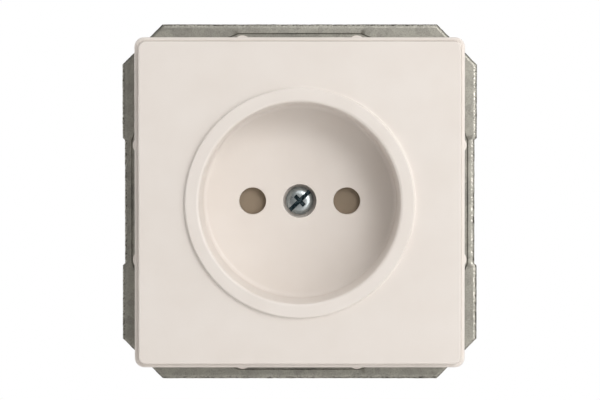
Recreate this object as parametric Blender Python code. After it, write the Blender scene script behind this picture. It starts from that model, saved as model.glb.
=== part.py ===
"""A flush-mounted socket outlet with a round recess, two pin holes and no earth, as separate pieces.

Frame: +X is right and +Z is up as seen from the room, and -Y points into the room. The origin is the centre
of the support strap's back face, which is the wall plane. Lengths are in metres.

Depths are positions along +Y, so a smaller depth is nearer the room. Each piece is built by its own function
from the sizes below, and every fit between two pieces is a named clearance.
"""

import math

import bmesh
import bpy
from mathutils import Matrix, Vector

MM = 0.001

# ---- Clearances between pieces
GAP = 0.3 * MM  # between surfaces that rest on each other
THREAD_GAP = 0.15 * MM  # around a screw in the thread that it turns in
SLIP = 0.4 * MM  # around a pin, a post or a wall that slides in

# ---- Cover plate, front to back
PLATE_SIDE = 65.2 * MM
PLATE_CORNER = 1.9 * MM
PLATE_WALL = 2.0 * MM
FACE_DEPTH = -10.4 * MM  # the flat front face
FACE_INSET = 0.85 * MM  # from the lip's edge to the raised face's side
FACE_ROUNDING = 0.9 * MM
LIP_DEPTH = -8.0 * MM  # the lip that an outer frame covers
LIP_THICKNESS = 1.5 * MM
LIP_ROUNDING = 0.3 * MM
GROOVE_WIDTH = 0.3 * MM
GROOVE_SINK = 0.3 * MM
SKIRT_INSET = 1.0 * MM
SKIRT_WALL = 1.4 * MM
SKIRT_NOTCH = 7.0 * MM  # room for the head of a box screw
NUB_OFFSET = 11.3 * MM  # snap nubs, from the middle of each side
NUB_WIDTH = 2.85 * MM
NUB_STAND = 0.4 * MM  # how far a nub stands past the lip
NUB_LENGTH = 1.9 * MM

# ---- Collar and recess for the plug
COLLAR_RADIUS = 22.6 * MM
COLLAR_STAND = 1.1 * MM
RECESS_RADIUS = 19.8 * MM
RECESS_DRAFT = 0.25 * MM
RECESS_DEPTH = 16.0 * MM  # from the collar's front to the floor
RECESS_WALL = 1.6 * MM
RECESS_FLOOR = 2.0 * MM
MOUTH_ROUNDING = 0.6 * MM
FLOOR_FILLET = 0.9 * MM

# ---- Plug pins
PIN_PITCH = 19.0 * MM
PIN_HOLE_RADIUS = 2.7 * MM
PIN_RADIUS = 2.4 * MM

# ---- Centre screw and the brass insert that it turns in
SCREW_RADIUS = 1.5 * MM
HEAD_RADIUS = 2.8 * MM
HEAD_HEIGHT = 1.9 * MM
HEAD_CLEARANCE = 0.55 * MM  # round the head in its bore
HEAD_SEAT = 3.5 * MM  # from the recess floor to the seat under the head
SCREW_LENGTH = 11.5 * MM
SLOT_ANGLE = math.radians(43.6)
INSERT_RADIUS = 2.5 * MM
INSERT_LENGTH = 7.6 * MM

# ---- Safety shutter behind the recess floor
BOSS_WALL = 1.15 * MM  # around the centre screw's head
SHUTTER_THICKNESS = 1.8 * MM
SHUTTER_HUB_WALL = 1.7 * MM
WING_MARGIN = 0.85 * MM  # how far a wing laps past its pin hole
RAMP_ANGLE = math.radians(8.0)
SHUTTER_OPEN = math.radians(38.0)
STOP_RADIUS = 0.6 * MM
SPRING_POST_RADIUS = 0.7 * MM
SPRING_POST_ANGLE = math.radians(52.0)
SPRING_COIL_RADIUS = 0.75 * MM
SPRING_WIRE_RADIUS = 0.16 * MM
SPRING_TURNS = 6
RETAINER_THICKNESS = 0.8 * MM
PEG_RADIUS = 1.2 * MM
PEG_OFFSET = 9.0 * MM

# ---- Support strap
STRAP_SIDE = 70.8 * MM
STRAP_CORNER_CUT = 8.0 * MM
STRAP_SHEET = 1.0 * MM
STRAP_STEP = 0.4 * MM  # how far the rim is pressed forward of the middle
STRAP_RIM = 1.75 * MM  # width of the rim along the sides
STRAP_FLAT_HALF = 12.3 * MM  # half the length of the rim's straight stretch
STRAP_RIM_SLOPE = 2.5
SIDE_DRAW = 0.46 * MM  # how far the left and right edges are drawn in
BOX_SCREW_CENTRES = 60.0 * MM
BOX_SLOT_WIDTH = 3.4 * MM
BOX_SLOT_LENGTH = 9.0 * MM
CORNER_HOLE_RADIUS = 1.7 * MM
CORNER_HOLE_OFFSET = 25.0 * MM

# ---- Socket base
BASE_RING_WALL = 1.4 * MM
DECK = 1.5 * MM
BLOCK_MARGIN = 10.5 * MM  # from a pin's axis to the block's side
BLOCK_HALF_HEIGHT = 19.5 * MM
BLOCK_WALL = 1.6 * MM
BLOCK_CORNER = 2.0 * MM
BLOCK_DEPTH = 14.2 * MM  # behind the deck
CHAMBER_OUTER = 8.3 * MM  # from a pin's axis to the chamber's outer wall
CHAMBER_LOW = 6.5 * MM
RIB = 1.6 * MM
EAR_HALF_WIDTH = 4.5 * MM
EAR_DEPTH = 5.7 * MM
EAR_END = 3.0 * MM  # past the rivet's axis

# ---- Rivets
RIVET_RADIUS = 1.5 * MM
RIVET_HEAD_RADIUS = 2.1 * MM
RIVET_HEAD = 0.8 * MM

# ---- Contacts and terminals
CONTACT_SHEET = 0.8 * MM
CONTACT_WIDTH = 5.2 * MM
CONTACT_MOUTH = 0.5 * MM  # how much wider than a pin the leaves open, each side
CONTACT_PINCH = 0.6 * MM  # how much narrower than a pin they close, each side
CONTACT_LENGTH = 12.4 * MM
CLIP_SHEET = 0.5 * MM
CLIP_LENGTH = 4.0 * MM
TERMINAL_OFFSET = 2.0 * MM  # the terminal's axis, outwards from the pin's
TERMINAL_HEIGHT = 12.0 * MM
TERMINAL_PAD = 4.0 * MM  # half the width of the contact's tongue
TERMINAL_SCREW_RADIUS = 1.75 * MM
TERMINAL_SCREW_LENGTH = 7.6 * MM
TERMINAL_HEAD_RADIUS = 3.0 * MM
TERMINAL_HEAD = 2.0 * MM
CLAMP_HALF = 3.6 * MM
CLAMP_THICKNESS = 2.0 * MM
CLAMP_OPEN = 2.5 * MM  # from the open clamp to the tongue

# ---- Back cover
BACK_COVER = 1.5 * MM
BACK_COVER_INSET = 0.3 * MM
DRIVER_COLLAR_WALL = 1.2 * MM
DRIVER_COLLAR_STAND = 1.1 * MM
BARRIER_WALL = 1.4 * MM  # the rib between the two terminals
BARRIER_STAND = 1.1 * MM
BARRIER_LENGTH = 11.0 * MM
GAUGE_LENGTH = 11.0 * MM  # the groove that shows how much wire to strip
GAUGE_WIDTH = 1.6 * MM
GAUGE_SINK = 0.5 * MM
BACK_SCREW_HEIGHT = 12.0 * MM
BACK_SCREW_RADIUS = 1.0 * MM
BACK_SCREW_LENGTH = 7.0 * MM
BACK_HEAD_RADIUS = 2.2 * MM
BACK_HEAD = 1.2 * MM

# ---- Spreading claws
CLAW_SCREW_RADIUS = 1.5 * MM
CLAW_SCREW_ROOM = 0.5 * MM  # from the base's ring to the screw
CLAW_SCREW_LENGTH = 21.9 * MM
CLAW_HEAD_RADIUS = 2.8 * MM
CLAW_HEAD = 1.6 * MM
CLAW_SHEET = 0.9 * MM
CLAW_HALF_WIDTH = 4.0 * MM
CLAW_NUT_HALF = 2.1 * MM
CLAW_NUT_HALF_HEIGHT = 3.8 * MM
CLAW_NUT_THICKNESS = 2.5 * MM
CLAW_NUT_TRAVEL = 3.0 * MM
CLAW_FOOT = 0.4 * MM  # how far the foot reaches into the block's side
CLAW_RAMP_LENGTH = 5.5 * MM
CLAW_RAMP_RISE = 2.4 * MM
CLAW_TIP_LENGTH = 4.0 * MM
CLAW_TOOTH = 1.2 * MM

# ---- Smoothness of round pieces
FINE_STEPS = 72
HOLE_STEPS = 28
SMALL_STEPS = 20
ARC_STEPS = 4
MERGE = 0.0005 * MM  # points closer than this are one point

# ---- Places that follow from the sizes above
PLATE_HALF = PLATE_SIDE / 2
COLLAR_FRONT = FACE_DEPTH - COLLAR_STAND
FLOOR_FRONT = COLLAR_FRONT + RECESS_DEPTH
FLOOR_BACK = FLOOR_FRONT + RECESS_FLOOR
CUP_RADIUS = RECESS_RADIUS + RECESS_WALL
PIN_X = PIN_PITCH / 2
SEAT_DEPTH = FLOOR_FRONT + HEAD_SEAT
HEAD_BORE_RADIUS = HEAD_RADIUS + HEAD_CLEARANCE
BOSS_RADIUS = HEAD_BORE_RADIUS + BOSS_WALL
SHUTTER_FRONT = FLOOR_BACK + GAP
SHUTTER_BACK = SHUTTER_FRONT + SHUTTER_THICKNESS
HUB_RADIUS = BOSS_RADIUS + GAP + SHUTTER_HUB_WALL
WING_RADIUS = PIN_X + PIN_HOLE_RADIUS + WING_MARGIN
WING_HALF_ANGLE = math.asin((PIN_HOLE_RADIUS + WING_MARGIN / 2) / PIN_X)
STOP_ORBIT = HUB_RADIUS + STOP_RADIUS + 3 * GAP
STOP_ANGLE = math.asin((STOP_RADIUS + GAP) / STOP_ORBIT)
SPRING_ORBIT = WING_RADIUS - 2.2 * SPRING_COIL_RADIUS
RETAINER_FRONT = SHUTTER_BACK + GAP
RETAINER_BACK = RETAINER_FRONT + RETAINER_THICKNESS
RETAINER_RADIUS = WING_RADIUS + 1.5 * MM
CUP_END = max(RETAINER_BACK, SEAT_DEPTH + BOSS_WALL) + 0.1 * MM
STRAP_FRONT = -STRAP_SHEET
RIM_FRONT = STRAP_FRONT - STRAP_STEP
STRAP_HALF = STRAP_SIDE / 2
BASE_INNER = CUP_RADIUS + SLIP
BASE_OUTER = BASE_INNER + BASE_RING_WALL
DECK_FRONT = CUP_END + SLIP
DECK_BACK = DECK_FRONT + DECK
BLOCK_HALF = PIN_X + BLOCK_MARGIN
BLOCK_BACK = DECK_BACK + BLOCK_DEPTH
RIVET_Z = BASE_OUTER + RIVET_HEAD_RADIUS + GAP
CLAW_X = max(BASE_OUTER + CLAW_SCREW_ROOM + CLAW_SCREW_RADIUS, BLOCK_HALF + GAP + CLAW_NUT_HALF)
CHAMBER_INNER = PIN_RADIUS + CONTACT_SHEET + GAP + CLIP_SHEET + SLIP
CONTACT_FRONT = DECK_BACK + GAP
CONTACT_BACK = CONTACT_FRONT + CONTACT_LENGTH
TERMINAL_X = PIN_X + TERMINAL_OFFSET
CLAMP_BACK = CONTACT_BACK - CONTACT_SHEET - CLAMP_OPEN
COVER_FRONT = BLOCK_BACK + GAP
COVER_BACK = COVER_FRONT + BACK_COVER
NUT_FRONT = DECK_BACK + GAP + CLAW_NUT_TRAVEL + 0.1 * MM
CLAW_SHEET_X = CLAW_X + CLAW_NUT_HALF + GAP + CLAW_SHEET / 2
CLAW_FOOT_DEPTH = NUT_FRONT + CLAW_NUT_THICKNESS + 4.3 * MM
SIDES = ((1, "right"), (-1, "left"))
ENDS = ((1, "top"), (-1, "bottom"))


# ---- Outlines
def polar(radius, angle):
    return (radius * math.cos(angle), radius * math.sin(angle))


def arc(centre, radius, start, end, steps):
    """Points along a circle from one angle to another, both ends included."""
    angles = [start + (end - start) * index / steps for index in range(steps + 1)]
    return [(centre[0] + radius * math.cos(a), centre[1] + radius * math.sin(a)) for a in angles]


def rectangle(x_low, x_high, z_low, z_high):
    return [(x_low, z_low), (x_high, z_low), (x_high, z_high), (x_low, z_high)]


def rounded_rectangle(half_width, half_height, corner):
    outline = []
    for quarter in range(4):
        start = quarter * math.pi / 2
        sign_x, sign_z = ((1, 1), (-1, 1), (-1, -1), (1, -1))[quarter]
        centre = (sign_x * (half_width - corner), sign_z * (half_height - corner))
        outline += arc(centre, corner, start, start + math.pi / 2, ARC_STEPS)
    return outline


def mirrored(outline, side):
    return [(side * x, y) for x, y in outline]


def sheet_outline(path, thickness):
    """The closed outline of a sheet that is bent along a path, with mitred bends."""
    points = [Vector(point) for point in path]
    runs = [(b - a).normalized() for a, b in zip(points, points[1:])]
    sides = ([], [])
    for index, point in enumerate(points):
        before, after = runs[max(index - 1, 0)], runs[min(index, len(runs) - 1)]
        along = (before + after).normalized()
        across = Vector((-along.y, along.x)) / max(along.dot(after), 0.3)
        sides[0].append(tuple(point + across * thickness / 2))
        sides[1].append(tuple(point - across * thickness / 2))
    return sides[0] + sides[1][::-1]


# ---- Solids
def object_from(name, mesh_data):
    bmesh.ops.remove_doubles(mesh_data, verts=mesh_data.verts, dist=MERGE)
    bmesh.ops.recalc_face_normals(mesh_data, faces=mesh_data.faces)
    mesh = bpy.data.meshes.new(name)
    mesh_data.to_mesh(mesh)
    mesh_data.free()
    piece = bpy.data.objects.new(name, mesh)
    bpy.context.scene.collection.objects.link(piece)
    return piece


def prism(name, corners, travel):
    mesh_data = bmesh.new()
    face = mesh_data.faces.new([mesh_data.verts.new(corner) for corner in corners])
    grown = bmesh.ops.extrude_face_region(mesh_data, geom=[face])["geom"]
    moved = [item for item in grown if isinstance(item, bmesh.types.BMVert)]
    bmesh.ops.translate(mesh_data, verts=moved, vec=travel)
    return object_from(name, mesh_data)


def slab(name, outline, front, back):
    """An (x, z) outline, carried from one depth to another."""
    return prism(name, [(x, front, z) for x, z in outline], (0, back - front, 0))


def rail(name, outline, low, high):
    """An (x, depth) outline, carried from one height to another."""
    return prism(name, [(x, depth, low) for x, depth in outline], (0, 0, high - low))


def turned(name, profile, centre=(0.0, 0.0), steps=FINE_STEPS):
    """A (radius, depth) profile turned about the line along Y through centre. A profile that starts on the
    axis gets flat ends, and one that doesn't is closed into a ring."""
    flat_ends = profile[0][0] == 0
    mesh_data = bmesh.new()
    wall = profile[1:-1] if flat_ends else profile
    points = [mesh_data.verts.new((radius, depth, 0.0)) for radius, depth in wall]
    pairs = list(zip(points, points[1:])) + ([] if flat_ends else [(points[-1], points[0])])
    edges = [mesh_data.edges.new(pair) for pair in pairs]
    bmesh.ops.spin(
        mesh_data, geom=mesh_data.verts[:] + edges, cent=(0, 0, 0), axis=(0, 1, 0),
        angle=2 * math.pi, steps=steps, use_merge=True,
    )
    bmesh.ops.remove_doubles(mesh_data, verts=mesh_data.verts, dist=MERGE)
    bmesh.ops.holes_fill(mesh_data, edges=[edge for edge in mesh_data.edges if edge.is_boundary])
    bmesh.ops.translate(mesh_data, verts=mesh_data.verts, vec=(centre[0], 0, centre[1]))
    return object_from(name, mesh_data)


def drum(name, radius, front, back, centre=(0.0, 0.0), steps=HOLE_STEPS):
    return turned(name, [(0, front), (radius, front), (radius, back), (0, back)], centre, steps)


def combined(body, tools, operation):
    """The body after a union with each tool, or with each tool cut away. The tools are used up."""
    for tool in tools:
        modifier = body.modifiers.new(tool.name, "BOOLEAN")
        modifier.operation = operation
        modifier.object = tool
    bpy.context.view_layer.update()
    seen = body.evaluated_get(bpy.context.evaluated_depsgraph_get())
    mesh, plain = bpy.data.meshes.new_from_object(seen), body.data
    body.modifiers.clear()
    body.data = mesh
    bpy.data.meshes.remove(plain)
    for tool in tools:
        bpy.data.objects.remove(tool)
    return body


def joined(body, *tools):
    return combined(body, tools, "UNION")


def cut(body, *tools):
    return combined(body, tools, "DIFFERENCE")


def placed_on(piece, axis_point):
    """Puts a moving piece's origin on its joint's axis, with its shape where it was."""
    piece.data.transform(Matrix.Translation(-Vector(axis_point)))
    piece.location = axis_point
    return piece


def finished(piece, colour, roughness, metallic=0.0):
    """Gives a piece its own material and smooth shading with crisp edges."""
    material = bpy.data.materials.new(piece.name + "_finish")
    material.use_nodes = True
    shader = material.node_tree.nodes["Principled BSDF"]
    shader.inputs["Base Color"].default_value = (*colour, 1.0)
    shader.inputs["Roughness"].default_value = roughness
    shader.inputs["Metallic"].default_value = metallic
    piece.data.materials.clear()
    piece.data.materials.append(material)
    if piece.type == "MESH":
        piece.data.shade_smooth()
        piece.data.set_sharp_from_angle(angle=math.radians(35))
    return piece


# ---- Cover plate
def plate_pan():
    """The plate with its raised face, groove, lip and skirt, as one stack of rounded squares."""
    half, raised = PLATE_HALF, PLATE_HALF - FACE_INSET
    skirt = half - SKIRT_INSET
    lip_back = LIP_DEPTH + LIP_THICKNESS
    skirt_back = RIM_FRONT - GAP
    rounding = [
        (raised - FACE_ROUNDING * (1 - math.sin(a)), FACE_DEPTH + FACE_ROUNDING * (1 - math.cos(a)))
        for a in (math.radians(18 * step) for step in range(6))
    ]
    sections = rounding + [
        (raised, LIP_DEPTH + GROOVE_SINK),
        (raised + GROOVE_WIDTH, LIP_DEPTH + GROOVE_SINK),
        (raised + GROOVE_WIDTH, LIP_DEPTH),
        (half - LIP_ROUNDING, LIP_DEPTH),
        (half, LIP_DEPTH + LIP_ROUNDING),
        (half, lip_back),
        (skirt, lip_back),
        (skirt, skirt_back),
        (skirt - SKIRT_WALL, skirt_back),
        (skirt - SKIRT_WALL, FACE_DEPTH + PLATE_WALL),
    ]
    mesh_data = bmesh.new()
    rings = []
    for section_half, depth in sections:
        corner = max(PLATE_CORNER - (half - section_half), 0.5 * MM)
        outline = rounded_rectangle(section_half, section_half, corner)
        rings.append([mesh_data.verts.new((x, depth, z)) for x, z in outline])
    for near, far in zip(rings, rings[1:]):
        for index in range(len(near)):
            following = (index + 1) % len(near)
            mesh_data.faces.new((near[index], near[following], far[following], far[index]))
    mesh_data.faces.new(rings[0])
    mesh_data.faces.new(rings[-1])
    return object_from("cover_plate", mesh_data)


def quarter_turns(build):
    """One copy of a tool for each side of the plate, turned about the plate's axis."""
    copies = []
    for quarter in range(4):
        tool = build()
        tool.data.transform(Matrix.Rotation(quarter * math.pi / 2, 4, "Y"))
        copies.append(tool)
    return copies


def snap_nubs():
    """The nubs on one side of the plate, which an outer frame snaps over."""
    radius = (NUB_WIDTH**2 / 4 + NUB_STAND**2) / (2 * NUB_STAND)
    reach = math.asin(NUB_WIDTH / (2 * radius)) + math.radians(10)
    front = LIP_DEPTH + LIP_THICKNESS - GAP
    nubs = []
    for offset in (-NUB_OFFSET, NUB_OFFSET):
        centre = (PLATE_HALF + NUB_STAND - radius, offset)
        root = PLATE_HALF - SKIRT_INSET - SKIRT_WALL / 2
        outline = [(root, offset - NUB_WIDTH / 2)] + arc(centre, radius, -reach, reach, 6)
        nubs.append(slab("nub", outline + [(root, offset + NUB_WIDTH / 2)], front, front + NUB_LENGTH))
    return joined(nubs[0], nubs[1])


def skirt_notch():
    outer, half = PLATE_HALF + MM, SKIRT_NOTCH / 2
    inner = PLATE_HALF - SKIRT_INSET - SKIRT_WALL - MM
    front = LIP_DEPTH + LIP_THICKNESS + GAP
    return slab("notch", rectangle(inner, outer, -half, half), front, RIM_FRONT + MM)


def recess_space():
    """The space that a plug fills: a drafted wall, a rounded mouth and a fillet round the floor."""
    low = RECESS_RADIUS - RECESS_DRAFT
    mouth = [
        (RECESS_RADIUS + MOUTH_ROUNDING * (1 - math.cos(a)),
         COLLAR_FRONT + MOUTH_ROUNDING * (1 - math.sin(a)))
        for a in (math.radians(22.5 * step) for step in range(4, -1, -1))
    ]
    fillet = [
        (low - FLOOR_FILLET * (1 - math.cos(a)), FLOOR_FRONT - FLOOR_FILLET * (1 - math.sin(a)))
        for a in (math.radians(30 * step) for step in range(4))
    ]
    start = [(0, COLLAR_FRONT - MM), (mouth[0][0], COLLAR_FRONT - MM)]
    return turned("recess", start + mouth + fillet + [(0, FLOOR_FRONT)])


def cover_plate():
    edge = 0.3 * MM
    plate = joined(
        plate_pan(),
        turned("collar", [
            (0, COLLAR_FRONT), (COLLAR_RADIUS - edge, COLLAR_FRONT), (COLLAR_RADIUS, COLLAR_FRONT + edge),
            (COLLAR_RADIUS, FACE_DEPTH - edge), (COLLAR_RADIUS + edge, FACE_DEPTH),
            (COLLAR_RADIUS + edge, FACE_DEPTH + edge), (CUP_RADIUS, FACE_DEPTH + PLATE_WALL + MM),
            (CUP_RADIUS, FLOOR_BACK - MM), (CUP_RADIUS - MM, FLOOR_BACK), (0, FLOOR_BACK),
        ]),
        drum("boss", BOSS_RADIUS, FLOOR_BACK - MM, CUP_END),
        *quarter_turns(snap_nubs),
        *[drum("peg", PEG_RADIUS, FLOOR_BACK - MM, CUP_END, (0, end * PEG_OFFSET), SMALL_STEPS)
          for end, _ in ENDS],
        *[drum("post", radius, FLOOR_BACK - MM, SHUTTER_BACK, polar(orbit, angle), SMALL_STEPS)
          for radius, orbit, angle in cover_posts()],
    )
    cut(
        plate,
        recess_space(),
        drum("head_bore", HEAD_BORE_RADIUS, FLOOR_FRONT - MM, SEAT_DEPTH),
        drum("shank_bore", SCREW_RADIUS + GAP, SEAT_DEPTH - MM, CUP_END + MM, steps=SMALL_STEPS),
        *[drum("pin_hole", PIN_HOLE_RADIUS, FLOOR_FRONT - MM, FLOOR_BACK + MM, (side * PIN_X, 0))
          for side, _ in SIDES],
        *quarter_turns(skirt_notch),
    )
    return finished(plate, (0.80, 0.76, 0.70), 0.32)


def cover_posts():
    """(radius, orbit, angle) of the shutter's two stops and of the spring's post."""
    closed = WING_HALF_ANGLE + STOP_ANGLE
    opened = math.pi - WING_HALF_ANGLE - SHUTTER_OPEN - STOP_ANGLE
    return (
        (STOP_RADIUS, STOP_ORBIT, closed),
        (STOP_RADIUS, STOP_ORBIT, opened),
        (SPRING_POST_RADIUS, SPRING_ORBIT, SPRING_POST_ANGLE),
    )


# ---- Shutter, its spring and its retainer
def shutter():
    """A hub with two wings, each ramped so that a pair of pins turns it aside."""
    inner = BOSS_RADIUS + GAP
    wing_root = (inner + HUB_RADIUS) / 2
    piece = turned("shutter", [
        (inner, SHUTTER_FRONT), (HUB_RADIUS, SHUTTER_FRONT),
        (HUB_RADIUS, SHUTTER_BACK), (inner, SHUTTER_BACK),
    ], steps=HOLE_STEPS * 2)
    wings, ramps = [], []
    for side, _ in SIDES:
        outline = arc((0, 0), WING_RADIUS, -WING_HALF_ANGLE, WING_HALF_ANGLE, 10)
        outline += arc((0, 0), wing_root, WING_HALF_ANGLE, -WING_HALF_ANGLE, 4)
        wing = slab("wing", outline, SHUTTER_FRONT, SHUTTER_BACK)
        ramp = slab("ramp", rectangle(HUB_RADIUS + GAP, WING_RADIUS + MM, -2 * PIN_X, 2 * PIN_X),
                    SHUTTER_FRONT - 2 * MM, SHUTTER_FRONT)
        low = Vector((0, SHUTTER_FRONT, -WING_RADIUS * math.sin(WING_HALF_ANGLE)))
        tilt = Matrix.Translation(low) @ Matrix.Rotation(RAMP_ANGLE, 4, "X") @ Matrix.Translation(-low)
        ramp.data.transform(tilt)
        for tool in (wing, ramp):
            tool.data.transform(Matrix.Rotation(0 if side > 0 else math.pi, 4, "Y"))
        wings.append(wing)
        ramps.append(ramp)
    joined(piece, *wings)
    cut(piece, *ramps)
    placed_on(piece, (0, SHUTTER_FRONT, 0))
    return finished(piece, (0.42, 0.34, 0.25), 0.5)


def shutter_spring():
    """A small tension spring from the right-hand wing's edge to its post on the cover plate."""
    start, end = (Vector(polar(SPRING_ORBIT, a)) for a in (WING_HALF_ANGLE, SPRING_POST_ANGLE))
    along = (end - start).normalized()
    across = Vector((-along.y, along.x))
    first = start + along * (GAP + 2 * SPRING_WIRE_RADIUS)
    last = end - along * (SPRING_POST_RADIUS + GAP + 2 * SPRING_WIRE_RADIUS)
    middle = (SHUTTER_FRONT + SHUTTER_BACK) / 2
    steps = SPRING_TURNS * 12
    curve = bpy.data.curves.new("shutter_spring", "CURVE")
    curve.dimensions = "3D"
    curve.bevel_depth = SPRING_WIRE_RADIUS
    curve.bevel_resolution = 1
    curve.use_fill_caps = True
    spline = curve.splines.new("POLY")
    spline.points.add(steps)
    for index in range(steps + 1):
        angle = index * math.pi / 6
        spot = first.lerp(last, index / steps) + across * SPRING_COIL_RADIUS * math.cos(angle)
        depth = middle + SPRING_COIL_RADIUS * math.sin(angle)
        spline.points[index].co = (spot.x, depth, spot.y, 1.0)
    piece = bpy.data.objects.new("shutter_spring", curve)
    bpy.context.scene.collection.objects.link(piece)
    return finished(piece, (0.55, 0.55, 0.56), 0.3, 1.0)


def shutter_retainer():
    """The flat plate that keeps the shutter against the recess floor."""
    flat = math.acos(min((PEG_OFFSET + PEG_RADIUS + 1.5 * MM) / RETAINER_RADIUS, 1.0))
    outline = arc((0, 0), RETAINER_RADIUS, flat - math.pi / 2, math.pi / 2 - flat, 12)
    outline += arc((0, 0), RETAINER_RADIUS, math.pi / 2 + flat, 3 * math.pi / 2 - flat, 12)
    plate = slab("shutter_retainer", outline, RETAINER_FRONT, RETAINER_BACK)
    low, high = RETAINER_FRONT - MM, RETAINER_BACK + MM
    cut(
        plate,
        drum("boss_hole", BOSS_RADIUS + SLIP, low, high),
        *[drum("pin_hole", PIN_HOLE_RADIUS + SLIP, low, high, (side * PIN_X, 0)) for side, _ in SIDES],
        *[drum("peg_hole", PEG_RADIUS + GAP, low, high, (0, end * PEG_OFFSET), SMALL_STEPS)
          for end, _ in ENDS],
    )
    return finished(plate, (0.70, 0.68, 0.62), 0.45)


# ---- Screws and rivets
def screw(name, centre, seat, length, radius, head_radius, head, facing, slot_angle, crossed):
    """A pan-head screw. facing is 1 if it is driven towards +Y and -1 if towards -Y. seat is the depth of
    the head's underside. A crossed head has a cross recess as well as the slot."""
    top = seat - facing * head
    round_off = head * 0.4
    profile = [
        (0, top), (head_radius * 0.72, top), (head_radius * 0.93, top + facing * round_off * 0.4),
        (head_radius, top + facing * round_off), (head_radius, seat), (radius, seat),
        (radius, seat + facing * (length - radius * 0.5)), (radius * 0.6, seat + facing * length),
        (0, seat + facing * length),
    ]
    piece = turned(name, profile, centre, SMALL_STEPS + 4)
    sunk = top + facing * head * 0.5
    width = head_radius * 0.14
    reaches = [(head_radius + MM, 0.0)]
    if crossed:
        reaches.append((head_radius * 0.55, math.pi / 2))
    tools = []
    for reach, turn in reaches:
        tool = slab("slot", rectangle(-reach, reach, -width, width), top - facing * MM, sunk)
        tool.data.transform(Matrix.Rotation(-slot_angle - turn, 4, "Y"))
        tool.data.transform(Matrix.Translation((centre[0], 0, centre[1])))
        tools.append(tool)
    cut(piece, joined(*tools) if crossed else tools[0])
    return placed_on(piece, (centre[0], seat, centre[1]))


def centre_screw():
    piece = screw("centre_screw", (0, 0), SEAT_DEPTH - GAP, SCREW_LENGTH, SCREW_RADIUS, HEAD_RADIUS,
                  HEAD_HEIGHT, 1, SLOT_ANGLE, True)
    return finished(piece, (0.60, 0.64, 0.66), 0.28, 1.0)


def threaded_insert():
    front = DECK_BACK + GAP
    inner = SCREW_RADIUS + THREAD_GAP
    piece = turned("threaded_insert", [
        (inner, front), (INSERT_RADIUS, front), (INSERT_RADIUS, front + INSERT_LENGTH),
        (inner, front + INSERT_LENGTH),
    ], steps=SMALL_STEPS + 4)
    return finished(piece, (0.80, 0.60, 0.28), 0.35, 1.0)


def strap_rivets():
    """Tubular rivets that hold the strap on the base's ears."""
    front, ear_back = STRAP_FRONT - GAP, GAP + EAR_DEPTH
    bore = RIVET_RADIUS * 0.55
    for end, label in ENDS:
        piece = turned("strap_rivet_" + label, [
            (0, front - RIVET_HEAD * 0.6), (bore, front - RIVET_HEAD * 0.6), (bore, front - RIVET_HEAD),
            (RIVET_HEAD_RADIUS * 0.85, front - RIVET_HEAD), (RIVET_HEAD_RADIUS, front - RIVET_HEAD * 0.4),
            (RIVET_HEAD_RADIUS, front), (RIVET_RADIUS, front), (RIVET_RADIUS, ear_back + GAP),
            (RIVET_HEAD_RADIUS, ear_back + GAP), (RIVET_HEAD_RADIUS * 0.8, ear_back + GAP + RIVET_HEAD),
            (0, ear_back + GAP + RIVET_HEAD),
        ], (0, end * RIVET_Z), SMALL_STEPS + 4)
        finished(piece, (0.62, 0.63, 0.60), 0.35, 1.0)


# ---- Support strap
def strap_outline():
    """A square with its corners cut off and its left and right edges drawn in along their middles."""
    half, cut_off = STRAP_HALF, STRAP_CORNER_CUT
    drawn = half - SIDE_DRAW
    right = [
        (half - cut_off, -half), (half, -half + cut_off), (half, -STRAP_FLAT_HALF - SIDE_DRAW),
        (drawn, -STRAP_FLAT_HALF),
        (drawn, STRAP_FLAT_HALF), (half, STRAP_FLAT_HALF + SIDE_DRAW), (half, half - cut_off),
        (half - cut_off, half),
    ]
    left = [(-x, -z) for x, z in right]
    return right + left


def strap_middle(grow):
    """The eight-sided middle of the strap, which lies on the wall."""
    flat = STRAP_HALF - STRAP_RIM + grow
    long_end = STRAP_FLAT_HALF + grow * 0.4
    corner = (STRAP_RIM_SLOPE * flat + long_end) / (STRAP_RIM_SLOPE + 1)
    quarter = [(flat, long_end), (corner, corner), (long_end, flat)]
    outline = []
    for turn in range(4):
        for x, z in quarter:
            outline.append(((x, z), (-z, x), (-x, -z), (z, -x))[turn])
    return outline


def support_strap():
    strap = slab("support_strap", strap_outline(), RIM_FRONT, RIM_FRONT + STRAP_SHEET)
    cut(strap, slab("middle_hole", strap_middle(-STRAP_SHEET), RIM_FRONT - MM, MM))
    joined(strap, slab("middle", strap_middle(0.0), STRAP_FRONT, 0.0))
    low, high = RIM_FRONT - MM, MM
    box_x, half_width, half_length = BOX_SCREW_CENTRES / 2, BOX_SLOT_WIDTH / 2, BOX_SLOT_LENGTH / 2
    straight = half_length - half_width
    slot = arc((box_x, straight), half_width, 0, math.pi, 8)
    slot += arc((box_x, -straight), half_width, math.pi, 2 * math.pi, 8)
    corner = (CORNER_HOLE_OFFSET, CORNER_HOLE_OFFSET)
    cut(
        strap,
        drum("aperture", BASE_INNER + GAP, low, high, steps=FINE_STEPS),
        *quarter_turns(lambda: slab("box_slot", slot, low, high)),
        *quarter_turns(lambda: drum("corner_hole", CORNER_HOLE_RADIUS, low, high, corner, SMALL_STEPS)),
        *[drum("rivet_hole", RIVET_RADIUS + GAP, low, high, (0, end * RIVET_Z), SMALL_STEPS)
          for end, _ in ENDS],
        *[drum("claw_hole", CLAW_SCREW_RADIUS + SLIP, low, high, (side * CLAW_X, 0), SMALL_STEPS)
          for side, _ in SIDES],
    )
    return finished(strap, (0.50, 0.50, 0.46), 0.42, 1.0)


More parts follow.
